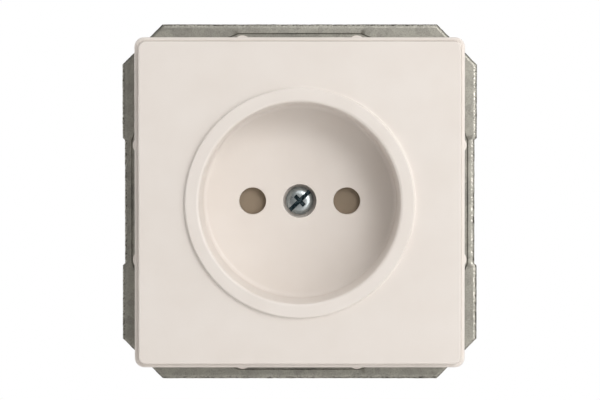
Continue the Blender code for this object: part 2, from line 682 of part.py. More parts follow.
# ---- Socket base and back cover
def chamber(side):
    """The room for one contact and its terminal, open towards the back."""
    inner, outer = PIN_X - CHAMBER_INNER, PIN_X + CHAMBER_OUTER
    outline = rectangle(inner, outer, -CHAMBER_LOW, BLOCK_HALF_HEIGHT - BLOCK_WALL)
    return slab("chamber", mirrored(outline, side), DECK_BACK, BLOCK_BACK + MM)


def lower_pocket(side):
    """The hollow below a chamber, which saves material and keeps the walls even."""
    inner, outer = PIN_X - CHAMBER_INNER, PIN_X + CHAMBER_OUTER
    outline = rectangle(inner, outer, -BLOCK_HALF_HEIGHT + BLOCK_WALL, -CHAMBER_LOW - RIB)
    return slab("pocket", mirrored(outline, side), DECK_BACK + RIB, BLOCK_BACK + MM)


def wire_slot(side):
    """The way in for the wires, through the block's top wall, between clamp and tongue."""
    outline = rectangle(TERMINAL_X - CLAMP_HALF, TERMINAL_X + CLAMP_HALF,
                        BLOCK_HALF_HEIGHT - BLOCK_WALL - MM, BLOCK_HALF_HEIGHT + MM)
    return slab("wire_slot", mirrored(outline, side), CLAMP_BACK, CLAMP_BACK + CLAMP_OPEN)


def foot_pocket(side):
    """The groove in the block's side that a claw's foot swings in."""
    half_height, room = CLAW_HALF_WIDTH + SLIP, CLAW_SHEET / 2 + 3 * SLIP
    outline = rectangle(BLOCK_HALF - CLAW_FOOT - SLIP, BLOCK_HALF + MM, -half_height, half_height)
    return slab("foot_pocket", mirrored(outline, side), CLAW_FOOT_DEPTH - room, CLAW_FOOT_DEPTH + room)


def socket_base():
    """The insulating body: a ring round the cup, a deck that the pins pass through, and a block behind."""
    block = rounded_rectangle(BLOCK_HALF, BLOCK_HALF_HEIGHT, BLOCK_CORNER)
    base = joined(
        drum("socket_base", BASE_OUTER, GAP, DECK_BACK, steps=FINE_STEPS),
        slab("block", block, DECK_FRONT, BLOCK_BACK),
        *[slab("ear", rectangle(-EAR_HALF_WIDTH, EAR_HALF_WIDTH, *sorted((end * CUP_RADIUS,
               end * (RIVET_Z + EAR_END)))), GAP, GAP + EAR_DEPTH) for end, _ in ENDS],
    )
    insert_front = DECK_BACK + GAP
    cut(
        base,
        drum("cup_room", BASE_INNER, -MM, DECK_FRONT, steps=FINE_STEPS),
        drum("screw_hole", SCREW_RADIUS + SLIP, DECK_FRONT - MM, insert_front + MM, steps=SMALL_STEPS),
        drum("insert_hole", INSERT_RADIUS + THREAD_GAP, insert_front - GAP / 2, BLOCK_BACK + MM,
             steps=SMALL_STEPS + 4),
        *[drum("pin_hole", PIN_HOLE_RADIUS + THREAD_GAP, DECK_FRONT - MM, DECK_BACK + MM, (side * PIN_X, 0))
          for side, _ in SIDES],
        *[build(side) for side, _ in SIDES for build in (chamber, lower_pocket, wire_slot, foot_pocket)],
        *[drum("rivet_hole", RIVET_RADIUS + THREAD_GAP, -MM, 2 * EAR_DEPTH, (0, end * RIVET_Z), SMALL_STEPS)
          for end, _ in ENDS],
        *[drum("back_screw_hole", BACK_SCREW_RADIUS + THREAD_GAP,
               BLOCK_BACK + BACK_COVER - BACK_SCREW_LENGTH - MM, BLOCK_BACK + MM,
               (0, end * BACK_SCREW_HEIGHT), SMALL_STEPS) for end, _ in ENDS],
    )
    return finished(base, (0.62, 0.60, 0.55), 0.55)


def back_cover():
    """The lid over the chambers, with a collared hole for a screwdriver over each terminal, a rib that
    keeps the two terminals' wires apart, and a groove as a stripping gauge."""
    half, half_height = BLOCK_HALF - BACK_COVER_INSET, BLOCK_HALF_HEIGHT - BACK_COVER_INSET
    outline = rounded_rectangle(half, half_height, BLOCK_CORNER)
    driver_radius = TERMINAL_HEAD_RADIUS + SLIP
    seam = COVER_BACK - BACK_COVER / 2
    collar_back = COVER_BACK + DRIVER_COLLAR_STAND
    terminals = [(side * TERMINAL_X, TERMINAL_HEIGHT) for side, _ in SIDES]
    barrier_top = BACK_SCREW_HEIGHT - BACK_HEAD_RADIUS - GAP
    barrier = rectangle(-BARRIER_WALL / 2, BARRIER_WALL / 2, barrier_top - BARRIER_LENGTH, barrier_top)
    lid = joined(
        slab("back_cover", outline, COVER_FRONT, COVER_BACK),
        slab("barrier", barrier, seam, COVER_BACK + BARRIER_STAND),
        *[drum("collar", driver_radius + DRIVER_COLLAR_WALL, seam, collar_back, centre)
          for centre in terminals],
    )
    low, high = COVER_FRONT - MM, collar_back + MM
    gauge_height = -BLOCK_HALF_HEIGHT * 0.75
    gauge = rectangle(-BLOCK_HALF / 2 - GAUGE_LENGTH / 2, -BLOCK_HALF / 2 + GAUGE_LENGTH / 2,
                      gauge_height - GAUGE_WIDTH / 2, gauge_height + GAUGE_WIDTH / 2)
    cut(
        lid,
        slab("gauge", gauge, COVER_BACK - GAUGE_SINK, high),
        *[drum("driver_hole", driver_radius, low, high, centre) for centre in terminals],
        *[drum("back_screw_hole", BACK_SCREW_RADIUS + GAP, low, high, (0, end * BACK_SCREW_HEIGHT),
               SMALL_STEPS) for end, _ in ENDS],
    )
    return finished(lid, (0.62, 0.60, 0.55), 0.55)


def back_cover_screws():
    for end, label in ENDS:
        piece = screw("back_cover_screw_" + label, (0, end * BACK_SCREW_HEIGHT), COVER_BACK + GAP,
                      BACK_SCREW_LENGTH, BACK_SCREW_RADIUS, BACK_HEAD_RADIUS, BACK_HEAD, -1,
                      math.radians(20 * end), True)
        finished(piece, (0.62, 0.63, 0.60), 0.35, 1.0)


# ---- Contacts, clips and terminals
def contact(side, label):
    """A brass strip folded into two leaves that grip a pin, with a tongue up to its terminal."""
    mouth = PIN_RADIUS + CONTACT_MOUTH + CONTACT_SHEET / 2
    pinch = PIN_RADIUS - CONTACT_PINCH + CONTACT_SHEET / 2
    heel = PIN_RADIUS + CONTACT_SHEET / 2
    back = CONTACT_BACK - CONTACT_SHEET / 2
    grip = CONTACT_FRONT + CONTACT_LENGTH * 0.4
    half = [(mouth, CONTACT_FRONT), (pinch, grip), (heel, back)]
    path = [(PIN_X + x, depth) for x, depth in half] + [(PIN_X - x, depth) for x, depth in half[::-1]]
    outline = mirrored(sheet_outline(path, CONTACT_SHEET), side)
    strip = rail("contact_" + label, outline, -CONTACT_WIDTH / 2, CONTACT_WIDTH / 2)
    tongue = rectangle(TERMINAL_X - TERMINAL_PAD, TERMINAL_X + TERMINAL_PAD, CONTACT_WIDTH / 2 - MM,
                       TERMINAL_HEIGHT + TERMINAL_PAD)
    joined(strip, slab("tongue", mirrored(tongue, side), CONTACT_BACK - CONTACT_SHEET, CONTACT_BACK))
    cut(strip, drum("terminal_hole", TERMINAL_SCREW_RADIUS + GAP, CONTACT_BACK - 2 * MM, CONTACT_BACK + MM,
                    (side * TERMINAL_X, TERMINAL_HEIGHT), SMALL_STEPS))
    return finished(strip, (0.78, 0.58, 0.30), 0.3, 1.0)


def contact_clip(side, label):
    """A steel spring clip that squeezes the two leaves together."""
    arm = PIN_RADIUS + CONTACT_SHEET + GAP + CLIP_SHEET / 2
    low = -CONTACT_WIDTH / 2 - GAP - CLIP_SHEET / 2
    path = [(PIN_X + arm, CONTACT_WIDTH * 0.45), (PIN_X + arm, low), (PIN_X - arm, low),
            (PIN_X - arm, CONTACT_WIDTH * 0.45)]
    front = CONTACT_FRONT + CONTACT_LENGTH * 0.3
    outline = mirrored(sheet_outline(path, CLIP_SHEET), side)
    return finished(slab("contact_clip_" + label, outline, front, front + CLIP_LENGTH),
                    (0.55, 0.56, 0.58), 0.3, 1.0)


def terminal(side, label):
    """The screw from the back, and the threaded plate that it draws up under the contact's tongue."""
    centre = (side * TERMINAL_X, TERMINAL_HEIGHT)
    piece = screw("terminal_screw_" + label, centre, CONTACT_BACK + GAP, TERMINAL_SCREW_LENGTH,
                  TERMINAL_SCREW_RADIUS, TERMINAL_HEAD_RADIUS, TERMINAL_HEAD, -1, math.radians(65), False)
    finished(piece, (0.80, 0.62, 0.32), 0.32, 1.0)
    outline = rectangle(TERMINAL_X - CLAMP_HALF, TERMINAL_X + CLAMP_HALF, TERMINAL_HEIGHT - CLAMP_HALF,
                        TERMINAL_HEIGHT + CLAMP_HALF)
    clamp = slab("terminal_clamp_" + label, mirrored(outline, side), CLAMP_BACK - CLAMP_THICKNESS,
                 CLAMP_BACK)
    cut(clamp, drum("thread", TERMINAL_SCREW_RADIUS + THREAD_GAP, CLAMP_BACK - CLAMP_THICKNESS - MM,
                    CLAMP_BACK + MM, centre, SMALL_STEPS + 4))
    placed_on(clamp, (centre[0], CLAMP_BACK, centre[1]))
    return finished(clamp, (0.60, 0.61, 0.60), 0.35, 1.0)


# ---- Spreading claws
def claw_screw(side, label):
    piece = screw("claw_screw_" + label, (side * CLAW_X, 0), STRAP_FRONT - GAP, CLAW_SCREW_LENGTH,
                  CLAW_SCREW_RADIUS, CLAW_HEAD_RADIUS, CLAW_HEAD, 1, math.radians(90 - 25 * side), True)
    return finished(piece, (0.62, 0.63, 0.60), 0.35, 1.0)


def claw_nut(side, label):
    """The square nut that wedges the claw's prongs outwards as it is drawn forwards."""
    outline = rectangle(CLAW_X - CLAW_NUT_HALF, CLAW_X + CLAW_NUT_HALF, -CLAW_NUT_HALF_HEIGHT,
                        CLAW_NUT_HALF_HEIGHT)
    nut_back = NUT_FRONT + CLAW_NUT_THICKNESS
    nut = slab("claw_nut_" + label, mirrored(outline, side), NUT_FRONT, nut_back)
    cut(nut, drum("thread", CLAW_SCREW_RADIUS + THREAD_GAP, NUT_FRONT - MM, nut_back + MM,
                  (side * CLAW_X, 0), SMALL_STEPS + 4))
    placed_on(nut, (side * CLAW_X, NUT_FRONT, 0))
    return finished(nut, (0.58, 0.59, 0.58), 0.38, 1.0)


def claw(side, label):
    """A forked sheet-steel claw. Its foot swings in the base's side, its prongs pass on both sides of the
    screw, and its toothed tips bite into the wall box."""
    ramp_start = NUT_FRONT - GAP
    ramp_end = ramp_start - CLAW_RAMP_LENGTH
    tip = (CLAW_SHEET_X, ramp_end - CLAW_TIP_LENGTH)
    path = [
        (BLOCK_HALF - CLAW_FOOT, CLAW_FOOT_DEPTH), (CLAW_SHEET_X, CLAW_FOOT_DEPTH),
        (CLAW_SHEET_X, ramp_start), (CLAW_SHEET_X - CLAW_RAMP_RISE, ramp_end), tip,
    ]
    outline = mirrored(sheet_outline(path, CLAW_SHEET), side)
    piece = rail("claw_" + label, outline, -CLAW_HALF_WIDTH, CLAW_HALF_WIDTH)
    fork_half = CLAW_SCREW_RADIUS + SLIP
    inner, outer = CLAW_X - 3 * MM, CLAW_SHEET_X + 2 * MM
    fork = slab("fork", mirrored(rectangle(inner, outer, -fork_half, fork_half), side), tip[1] - 2 * MM,
                ramp_start + MM)
    teeth = []
    count = 4
    for end, _ in ENDS:
        for index in range(1, count // 2):
            middle = end * (fork_half + (CLAW_HALF_WIDTH - fork_half) * index / (count // 2))
            notch = [(middle - CLAW_TOOTH / 2, tip[1] - MM), (middle + CLAW_TOOTH / 2, tip[1] - MM),
                     (middle, tip[1] + CLAW_TOOTH * 0.7)]
            corners = [(side * inner, depth, z) for z, depth in notch]
            teeth.append(prism("tooth_gap", corners, (side * (outer - inner), 0, 0)))
    cut(piece, fork, *teeth)
    placed_on(piece, (side * (BLOCK_HALF - CLAW_FOOT), CLAW_FOOT_DEPTH, 0))
    return finished(piece, (0.58, 0.59, 0.57), 0.4, 1.0)


def clear_scene():
    for item in list(bpy.data.objects):
        bpy.data.objects.remove(item)


clear_scene()
for make in (cover_plate, shutter, shutter_spring, shutter_retainer, centre_screw, threaded_insert,
             support_strap, strap_rivets, socket_base, back_cover, back_cover_screws):
    make()
for hand, hand_name in SIDES:
    for make in (contact, contact_clip, terminal, claw_screw, claw_nut, claw):
        make(hand, hand_name)
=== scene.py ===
import math

import bmesh
import bpy
from mathutils import Matrix, Vector, noise


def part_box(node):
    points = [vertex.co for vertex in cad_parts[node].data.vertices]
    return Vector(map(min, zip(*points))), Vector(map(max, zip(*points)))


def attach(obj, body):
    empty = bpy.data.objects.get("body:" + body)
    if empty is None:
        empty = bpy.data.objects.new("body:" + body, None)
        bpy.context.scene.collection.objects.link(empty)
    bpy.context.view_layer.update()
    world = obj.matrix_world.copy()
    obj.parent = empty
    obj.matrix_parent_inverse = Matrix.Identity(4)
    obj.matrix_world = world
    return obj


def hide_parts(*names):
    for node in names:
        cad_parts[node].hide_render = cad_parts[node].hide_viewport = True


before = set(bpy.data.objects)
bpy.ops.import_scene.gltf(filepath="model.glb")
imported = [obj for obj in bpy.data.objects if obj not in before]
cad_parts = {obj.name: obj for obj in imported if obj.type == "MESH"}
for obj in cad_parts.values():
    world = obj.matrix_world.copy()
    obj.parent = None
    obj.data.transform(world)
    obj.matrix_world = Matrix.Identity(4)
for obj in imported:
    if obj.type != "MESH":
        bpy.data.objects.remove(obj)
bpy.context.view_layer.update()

scene = bpy.context.scene
MM = 0.001

# ---- Camera
# It stands square in front of the plate, a little above its middle, as a fitter checks a finished outlet.
# A long lens keeps the recess and the square plate free of strong perspective.
target = Vector((0.06, -11.5, 0.6)) * MM
height_angle = math.radians(1.5)
camera = bpy.data.objects.new("camera", bpy.data.cameras.new("camera"))
camera.data.lens = 172.8
camera.data.sensor_width = 36.0
camera.location = target + Vector((0, -math.cos(height_angle), math.sin(height_angle))) * 0.565
camera.rotation_euler = (target - camera.location).to_track_quat("-Z", "Y").to_euler()
scene.collection.objects.link(camera)
scene.camera = camera

# ---- Studio
# A white room with soft round lamps, most of them on the right and above. Two more stand behind the object
# for its back. The pale floor lies well below, as the outlet is shown without its wall.
lamps = (  # degrees off the plate's axis, degrees round it from the right, disc size, watts
    ("key", 28, 45, 0.24, 1.16),
    ("key_right", 28, 0, 0.24, 0.40),
    ("key_low", 28, 315, 0.24, 0.26),
    ("key_top", 28, 90, 0.24, 0.21),
    ("side_right", 48, 0, 0.28, 0.34),
    ("side_upper", 48, 30, 0.28, 0.38),
    ("side_top", 48, 90, 0.28, 0.36),
    ("rim_left", 80, 180, 0.26, 0.44),
    ("rim_right", 74, 10, 0.26, 0.48),
    ("rim_top", 74, 90, 0.26, 0.55),
    ("back_right", 140, 40, 0.40, 2.2),
    ("back_left", 130, 160, 0.40, 1.5),
)
lamp_colour = (1.0, 0.968, 0.935)
for lamp_name, off_axis, around, size, watts in lamps:
    lamp = bpy.data.objects.new(lamp_name, bpy.data.lights.new(lamp_name, "AREA"))
    lamp.data.shape = "DISK"
    lamp.data.size = size
    lamp.data.energy = watts
    lamp.data.color = lamp_colour
    lamp.visible_camera = False
    tilt, turn = math.radians(off_axis), math.radians(around)
    towards = Vector((math.sin(tilt) * math.cos(turn), -math.cos(tilt), math.sin(tilt) * math.sin(turn)))
    lamp.location = towards * 0.7
    lamp.rotation_euler = (-towards).to_track_quat("-Z", "Y").to_euler()
    scene.collection.objects.link(lamp)


def add(tree, kind, inputs=(), **settings):
    """Adds a node to a tree. inputs names each socket with its value, or with the output that feeds it."""
    node = tree.nodes.new(kind)
    for key, value in settings.items():
        setattr(node, key, value)
    for key, value in dict(inputs).items():
        if isinstance(value, bpy.types.NodeSocket):
            tree.links.new(value, node.inputs[key])
        else:
            node.inputs[key].default_value = value
    return node


room = bpy.data.worlds.new("white_room")
room.use_nodes = True
scene.world = room
scene.view_settings.view_transform = "Standard"
room_shader = room.node_tree.nodes["Background"]
room_light = [0.21 * part for part in lamp_colour]
seen_directly = add(room.node_tree, "ShaderNodeLightPath").outputs["Is Camera Ray"]
room_colour = add(room.node_tree, "ShaderNodeMix", {0: seen_directly, 6: (*room_light, 1), 7: (1, 1, 1, 1)},
                  data_type="RGBA")
room.node_tree.links.new(room_colour.outputs[2], room_shader.inputs["Color"])

floor_mesh = bmesh.new()
bmesh.ops.create_grid(floor_mesh, x_segments=1, y_segments=1, size=1.0)
bmesh.ops.translate(floor_mesh, verts=floor_mesh.verts, vec=(0, 0, -0.25))
floor = bpy.data.objects.new("floor", bpy.data.meshes.new("floor"))
floor_mesh.to_mesh(floor.data)
floor_mesh.free()
scene.collection.objects.link(floor)
floor_paint = bpy.data.materials.new("pale_floor")
floor_paint.use_nodes = True
floor_paint.node_tree.nodes["Principled BSDF"].inputs["Base Color"].default_value = (0.86, 0.85, 0.84, 1)
floor_shader = floor_paint.node_tree.nodes["Principled BSDF"]
floor_shader.inputs["Roughness"].default_value = 0.7
floor_shader.inputs["Emission Color"].default_value = (1, 1, 1, 1)
glow = add(floor_paint.node_tree, "ShaderNodeMapRange", {
    0: add(floor_paint.node_tree, "ShaderNodeLightPath").outputs["Is Camera Ray"], 3: 0.0, 4: 0.5})
floor_paint.node_tree.links.new(glow.outputs[0], floor_shader.inputs["Emission Strength"])
floor.data.materials.append(floor_paint)

# ---- Cover plate
# One moulding in warm white thermoplastic: a flat face with a raised collar round the plug's recess, a thin
# lip that an outer frame covers, a skirt with snap nubs, and on the back the cup with its bosses and posts.
plate_low, plate_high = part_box("cover_plate")
nub_stand = 0.4 * MM
plate_half = plate_high.x - nub_stand
collar_stand, recess_depth, floor_thickness, seat_depth = 1.1 * MM, 16.0 * MM, 2.0 * MM, 3.5 * MM
collar_front = plate_low.y
face_front = collar_front + collar_stand
floor_front = collar_front + recess_depth
floor_back = floor_front + floor_thickness
boss_back = plate_high.y
seat = floor_front + seat_depth
boss_radius, peg_radius, peg_z = 4.5 * MM, 1.2 * MM, 9 * MM
head_bore_radius, shank_bore_radius = 3.35 * MM, 1.8 * MM
recess_radius, recess_low = 19.8 * MM, 19.55 * MM
collar_radius, cup_radius = 22.6 * MM, 21.4 * MM
raised_half, raised_corner = plate_half - 0.85 * MM, 1.4 * MM
lip_front, lip_back, lip_corner = -8.0 * MM, -6.5 * MM, 1.9 * MM
skirt_half, skirt_inner, skirt_back = plate_half - 1.0 * MM, plate_half - 2.4 * MM, -1.7 * MM
pin_x, pin_hole_radius = 9.5 * MM, 2.7 * MM


def rounded_square(half, corner, side_steps=56, corner_steps=10):
    """Points round a square with rounded corners, as many for every size, so that two can be joined."""
    quarter = [(half, -half + corner + 2 * (half - corner) * i / side_steps) for i in range(side_steps)]
    for i in range(corner_steps):
        angle = math.pi / 2 * i / corner_steps
        quarter.append((half - corner + corner * math.cos(angle), half - corner + corner * math.sin(angle)))
    points = []
    for x_sign, swap in ((1, False), (1, True), (-1, False), (-1, True)):
        points += [(-x_sign * z, x_sign * x) if swap else (x_sign * x, x_sign * z) for x, z in quarter]
    return points


def rounding(radius, steps=5):
    """(inwards, back) offsets along a quarter round, which starts flat and ends steep."""
    angles = [math.radians(90 * i / steps) for i in range(steps + 1)]
    return [(radius * (1 - math.sin(a)), radius * (1 - math.cos(a))) for a in angles]


def piece_from(name, shape):
    """An object in the scene from mesh data, with doubles merged and every face pointing out."""
    bmesh.ops.remove_doubles(shape, verts=shape.verts, dist=0.0002 * MM)
    bmesh.ops.recalc_face_normals(shape, faces=shape.faces)
    piece = bpy.data.objects.new(name, bpy.data.meshes.new(name))
    shape.to_mesh(piece.data)
    shape.free()
    scene.collection.objects.link(piece)
    return piece


def lofted(name, rings, closed=False):
    """A skin through rings of (x, z) points, at a depth each. An open row of rings gets flat ends."""
    shape = bmesh.new()
    loops = [[shape.verts.new((x, depth, z)) for x, z in points] for points, depth in rings]
    pairs = list(zip(loops, loops[1:])) + ([(loops[-1], loops[0])] if closed else [])
    for near, far in pairs:
        for i, point in enumerate(near):
            after = (i + 1) % len(near)
            shape.faces.new((point, near[after], far[after], far[i]))
    if not closed:
        shape.faces.new(loops[0])
        shape.faces.new(loops[-1])
    return piece_from(name, shape)


def turned(name, profile, centre=(0.0, 0.0), steps=64):
    """A (radius, depth) profile turned round a line along Y, with flat ends."""
    angles = [2 * math.pi * i / steps for i in range(steps)]
    x, z = centre
    return lofted(name, [([(x + r * math.cos(a), z + r * math.sin(a)) for a in angles], depth)
                         for r, depth in profile])


def slab(name, outline, front, back):
    return lofted(name, [(outline, front), (outline, back)])


def as_plain_mesh(piece):
    """Puts the piece's modifiers into its mesh."""
    bpy.context.view_layer.update()
    seen = piece.evaluated_get(bpy.context.evaluated_depsgraph_get())
    mesh = bpy.data.meshes.new_from_object(seen)
    piece.modifiers.clear()
    piece.data = mesh
    return piece


def worked(body, operation, tools):
    """The body after a union with each tool, or with each one cut away. The tools are used up."""
    for tool in tools:
        modifier = body.modifiers.new(tool.name, "BOOLEAN")
        modifier.operation = operation
        modifier.object = tool
    as_plain_mesh(body)
    for tool in tools:
        bpy.data.objects.remove(tool)
    return body


def smoothed(piece, angle=38):
    """Smooth shading that stays flat on the flats and crisp on the sharp edges."""
    piece.data.shade_smooth()
    piece.data.set_sharp_from_angle(angle=math.radians(angle))
    flats = piece.modifiers.new("flats", "WEIGHTED_NORMAL")
    flats.keep_sharp = True
    return as_plain_mesh(piece)


def fitted(piece, material, body, slot, *nodes):
    """Gives a finished piece its material, its body and the nodes that it stands for."""
    piece.data.materials.clear()
    piece.data.materials.append(material)
    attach(piece, body)
    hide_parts(*nodes)
    return piece


def bearings_of(points):
    return [math.atan2(z, x) for x, z in points]


bearings = bearings_of(rounded_square(raised_half, raised_corner))


def circle(radius, directions=bearings):
    return [(radius * math.cos(a), radius * math.sin(a)) for a in directions]


def plate_rings():
    """Every ring of the plate's skin, from the recess floor over the front and round to the cup's back."""
    fillet, mouth, edge = 0.9 * MM, 0.6 * MM, 0.3 * MM
    rings = [(circle(recess_low - fillet - 0.1 * MM), floor_front)]
    rings += [(circle(recess_low - i), floor_front - o) for i, o in rounding(fillet, 6)]
    rings += [(circle(recess_radius + i), collar_front + o) for i, o in reversed(rounding(mouth, 8))]
    rings += [(circle(collar_radius - i), collar_front + o) for i, o in rounding(edge)]
    rings += [(circle(collar_radius + o), face_front - i) for i, o in rounding(edge, 4)]
    rings += [(circle(collar_radius + 2 * edge), face_front)]
    face_edge, lip_edge, bottom_edge = 0.32 * MM, 0.26 * MM, 0.15 * MM
    for inset, back in rounding(face_edge, 7):
        rings.append((rounded_square(raised_half - inset, raised_corner - 0.6 * inset), face_front + back))
    groove, soft = 0.16 * MM, 0.06 * MM
    rings += [
        (rounded_square(raised_half, raised_corner), lip_front + groove),
        (rounded_square(raised_half + groove, raised_corner + groove), lip_front + groove),
        (rounded_square(raised_half + groove, raised_corner + groove), lip_front + soft),
        (rounded_square(raised_half + groove + soft, raised_corner + groove), lip_front),
    ]
    for inset, back in rounding(lip_edge):
        rings.append((rounded_square(plate_half - inset, lip_corner - inset), lip_front + back))
    rings += [
        (rounded_square(plate_half, lip_corner), lip_back - 0.1 * MM),
        (rounded_square(plate_half - 0.1 * MM, lip_corner - 0.1 * MM), lip_back),
        (rounded_square(skirt_half, 1.0 * MM), lip_back),
        (rounded_square(skirt_half, 1.0 * MM), skirt_back - bottom_edge),
        (rounded_square(skirt_half - bottom_edge, 0.9 * MM), skirt_back),
        (rounded_square(skirt_inner + bottom_edge, 0.6 * MM), skirt_back),
        (rounded_square(skirt_inner, 0.5 * MM), skirt_back - bottom_edge),
        (rounded_square(skirt_inner, 0.5 * MM), face_front + 2.5 * MM),
        (rounded_square(skirt_inner - 0.5 * MM, 0.5 * MM), face_front + 2.0 * MM),
        (circle(cup_radius + 1.0 * MM), face_front + 2.0 * MM),
        (circle(cup_radius), face_front + 3.0 * MM),
        (circle(cup_radius), floor_back - 1.0 * MM),
        (circle(cup_radius - 0.3 * MM), floor_back - 0.3 * MM),
        (circle(cup_radius - 1.0 * MM), floor_back),
    ]
    return rings


def bore(name, radius, front, back, centre=(0.0, 0.0), lip=0.2 * MM):
    """A cutter for a round hole. lip is how far its rim at the front is rounded."""
    rim = [(radius + o, front + i) for i, o in reversed(rounding(lip, 4))] if lip else []
    return turned(name, [(radius + lip, front - MM), *rim, (radius, back)], centre)


def snap_nubs_tree():
    """Eight half-round nubs: one is made, set twice along a side, and turned to each of the four sides."""
    tree = bpy.data.node_groups.new("snap_nubs", "GeometryNodeTree")
    face = tree.interface
    for label, kind in (("Half Side", "NodeSocketFloat"), ("Offset", "NodeSocketFloat"),
                        ("Stand", "NodeSocketFloat"), ("Width", "NodeSocketFloat"),
                        ("Length", "NodeSocketFloat"), ("Depth", "NodeSocketFloat"),
                        ("Plastic", "NodeSocketMaterial")):
        face.new_socket(label, in_out="INPUT", socket_type=kind)
    face.new_socket("Geometry", in_out="OUTPUT", socket_type="NodeSocketGeometry")
    given = tree.nodes.new("NodeGroupInput").outputs
    root, half_share = 1.2 * MM, 0.61  # the wall hides the root, so the nub is made wider than it shows
    across = add(tree, "ShaderNodeMath", {0: given["Stand"], 1: root}, operation="ADD").outputs[0]
    along = add(tree, "ShaderNodeMath", {0: given["Width"], 1: half_share}, operation="MULTIPLY").outputs[0]
    drum = add(tree, "GeometryNodeMeshCylinder", {"Vertices": 40, "Radius": 1.0, "Depth": given["Length"]})
    size = add(tree, "ShaderNodeCombineXYZ", {0: across, 1: along, 2: 1.0}).outputs[0]
    nub = add(tree, "GeometryNodeTransform",
              {"Geometry": drum.outputs["Mesh"], "Scale": size}).outputs[0]
    nub = add(tree, "GeometryNodeTransform",
              {"Geometry": nub, "Rotation": (math.pi / 2, 0, 0)}).outputs[0]
    middle = add(tree, "ShaderNodeMath", {0: given["Half Side"], 1: root}, operation="SUBTRACT").outputs[0]
    low = add(tree, "ShaderNodeMath", {0: given["Offset"], 1: -1.0}, operation="MULTIPLY").outputs[0]
    start = add(tree, "ShaderNodeCombineXYZ", {0: middle, 1: given["Depth"], 2: low}).outputs[0]
    step = add(tree, "ShaderNodeMath", {0: given["Offset"], 1: 2.0}, operation="MULTIPLY").outputs[0]
    step = add(tree, "ShaderNodeCombineXYZ", {2: step}).outputs[0]
    pair = add(tree, "GeometryNodeMeshLine",
               {"Count": 2, "Start Location": start, "Offset": step}).outputs[0]
    pair = add(tree, "GeometryNodeInstanceOnPoints", {"Points": pair, "Instance": nub}).outputs[0]
    sides = add(tree, "GeometryNodeMeshLine", {"Count": 4, "Offset": (0, 0, 0)}).outputs[0]
    turn = add(tree, "ShaderNodeMath", {0: tree.nodes.new("GeometryNodeInputIndex").outputs[0],
                                        1: math.pi / 2}, operation="MULTIPLY").outputs[0]
    turn = add(tree, "ShaderNodeCombineXYZ", {1: turn}).outputs[0]
    turn = add(tree, "FunctionNodeEulerToRotation", {0: turn}).outputs[0]
    ring = add(tree, "GeometryNodeInstanceOnPoints",
               {"Points": sides, "Instance": pair, "Rotation": turn}).outputs[0]
    ring = add(tree, "GeometryNodeRealizeInstances", {0: ring}).outputs[0]
    ring = add(tree, "GeometryNodeSetMaterial", {"Geometry": ring, "Material": given["Plastic"]}).outputs[0]
    tree.links.new(ring, tree.nodes.new("NodeGroupOutput").inputs[0])
    return tree


def grown(name, tree, values):
    """A plain mesh object made by a tree from its named inputs."""
    piece = bpy.data.objects.new(name, bpy.data.meshes.new(name))
    scene.collection.objects.link(piece)
    modifier = piece.modifiers.new(name, "NODES")
    modifier.node_group = tree
    for socket in tree.interface.items_tree:
        if socket.in_out == "INPUT":
            modifier[socket.identifier] = values[socket.name]
    return as_plain_mesh(piece)


def new_finish(name, colour, roughness, metallic=0.0, **sockets):
    """A material with one shader. Values that are the same all over are set on the shader's own sockets."""
    material = bpy.data.materials.new(name)
    material.use_nodes = True
    shader = material.node_tree.nodes["Principled BSDF"]
    shader.inputs["Base Color"].default_value = (*colour, 1.0)
    shader.inputs["Roughness"].default_value = roughness
    shader.inputs["Metallic"].default_value = metallic
    for label, value in sockets.items():
        shader.inputs[label.replace("_", " ").title().replace("Ior", "IOR")].default_value = value
    return material, material.node_tree, shader


def patches(tree, size, detail=3.0, roughness=0.5, kind="ShaderNodeTexNoise"):
    """A pattern whose features measure about size, from the piece's own coordinates."""
    place = add(tree, "ShaderNodeTexCoord").outputs["Object"]
    inputs = {"Vector": place, "Scale": 1.0 / size}
    if kind == "ShaderNodeTexNoise":
        inputs.update({"Detail": detail, "Roughness": roughness})
    return add(tree, kind, inputs)


def mixed(tree, amount, first, second):
    """A colour between two colours, or outputs, by an amount."""
    colours = [c if isinstance(c, bpy.types.NodeSocket) else (*c, 1.0) for c in (first, second)]
    return add(tree, "ShaderNodeMix", {0: amount, 6: colours[0], 7: colours[1]}, data_type="RGBA").outputs[2]


def ramped(tree, value, low, high, out_low=0.0, out_high=1.0):
    return add(tree, "ShaderNodeMapRange", {0: value, 1: low, 2: high, 3: out_low, 4: out_high}).outputs[0]


def bumped(tree, shader, *layers):
    """Stacks bumps of (height output, depth) on the shader."""
    normal = None
    for height, depth in layers:
        inputs = {"Height": height, "Distance": depth, "Strength": 1.0}
        if normal:
            inputs["Normal"] = normal
        normal = add(tree, "ShaderNodeBump", inputs).outputs[0]
    tree.links.new(normal, shader.inputs["Normal"])


def moulded_plastic(name, pale, deep, roughness, grain=0.22 * MM, grain_depth=0.004 * MM, **sockets):
    """Moulded plastic: a faint drift of colour from the flow, a fine spark-eroded grain and tiny pits."""
    material, tree, shader = new_finish(name, pale, roughness, **sockets)
    drift = patches(tree, 9 * MM, 2.0).outputs[0]
    colour = mixed(tree, ramped(tree, drift, 0.3, 0.7), pale, deep)
    specks = patches(tree, 0.5 * MM, 1.0).outputs[0]
    colour = mixed(tree, ramped(tree, specks, 0.74, 0.82, 0.0, 0.35), colour, deep)
    tree.links.new(colour, shader.inputs["Base Color"])
    fine = patches(tree, grain, 2.0).outputs[0]
    rough = ramped(tree, fine, 0.3, 0.7, roughness - 0.04, roughness + 0.05)
    tree.links.new(rough, shader.inputs["Roughness"])
    waves = patches(tree, 5 * MM, 1.0).outputs[0]
    bumped(tree, shader, (waves, 0.02 * MM), (fine, grain_depth))
    return material


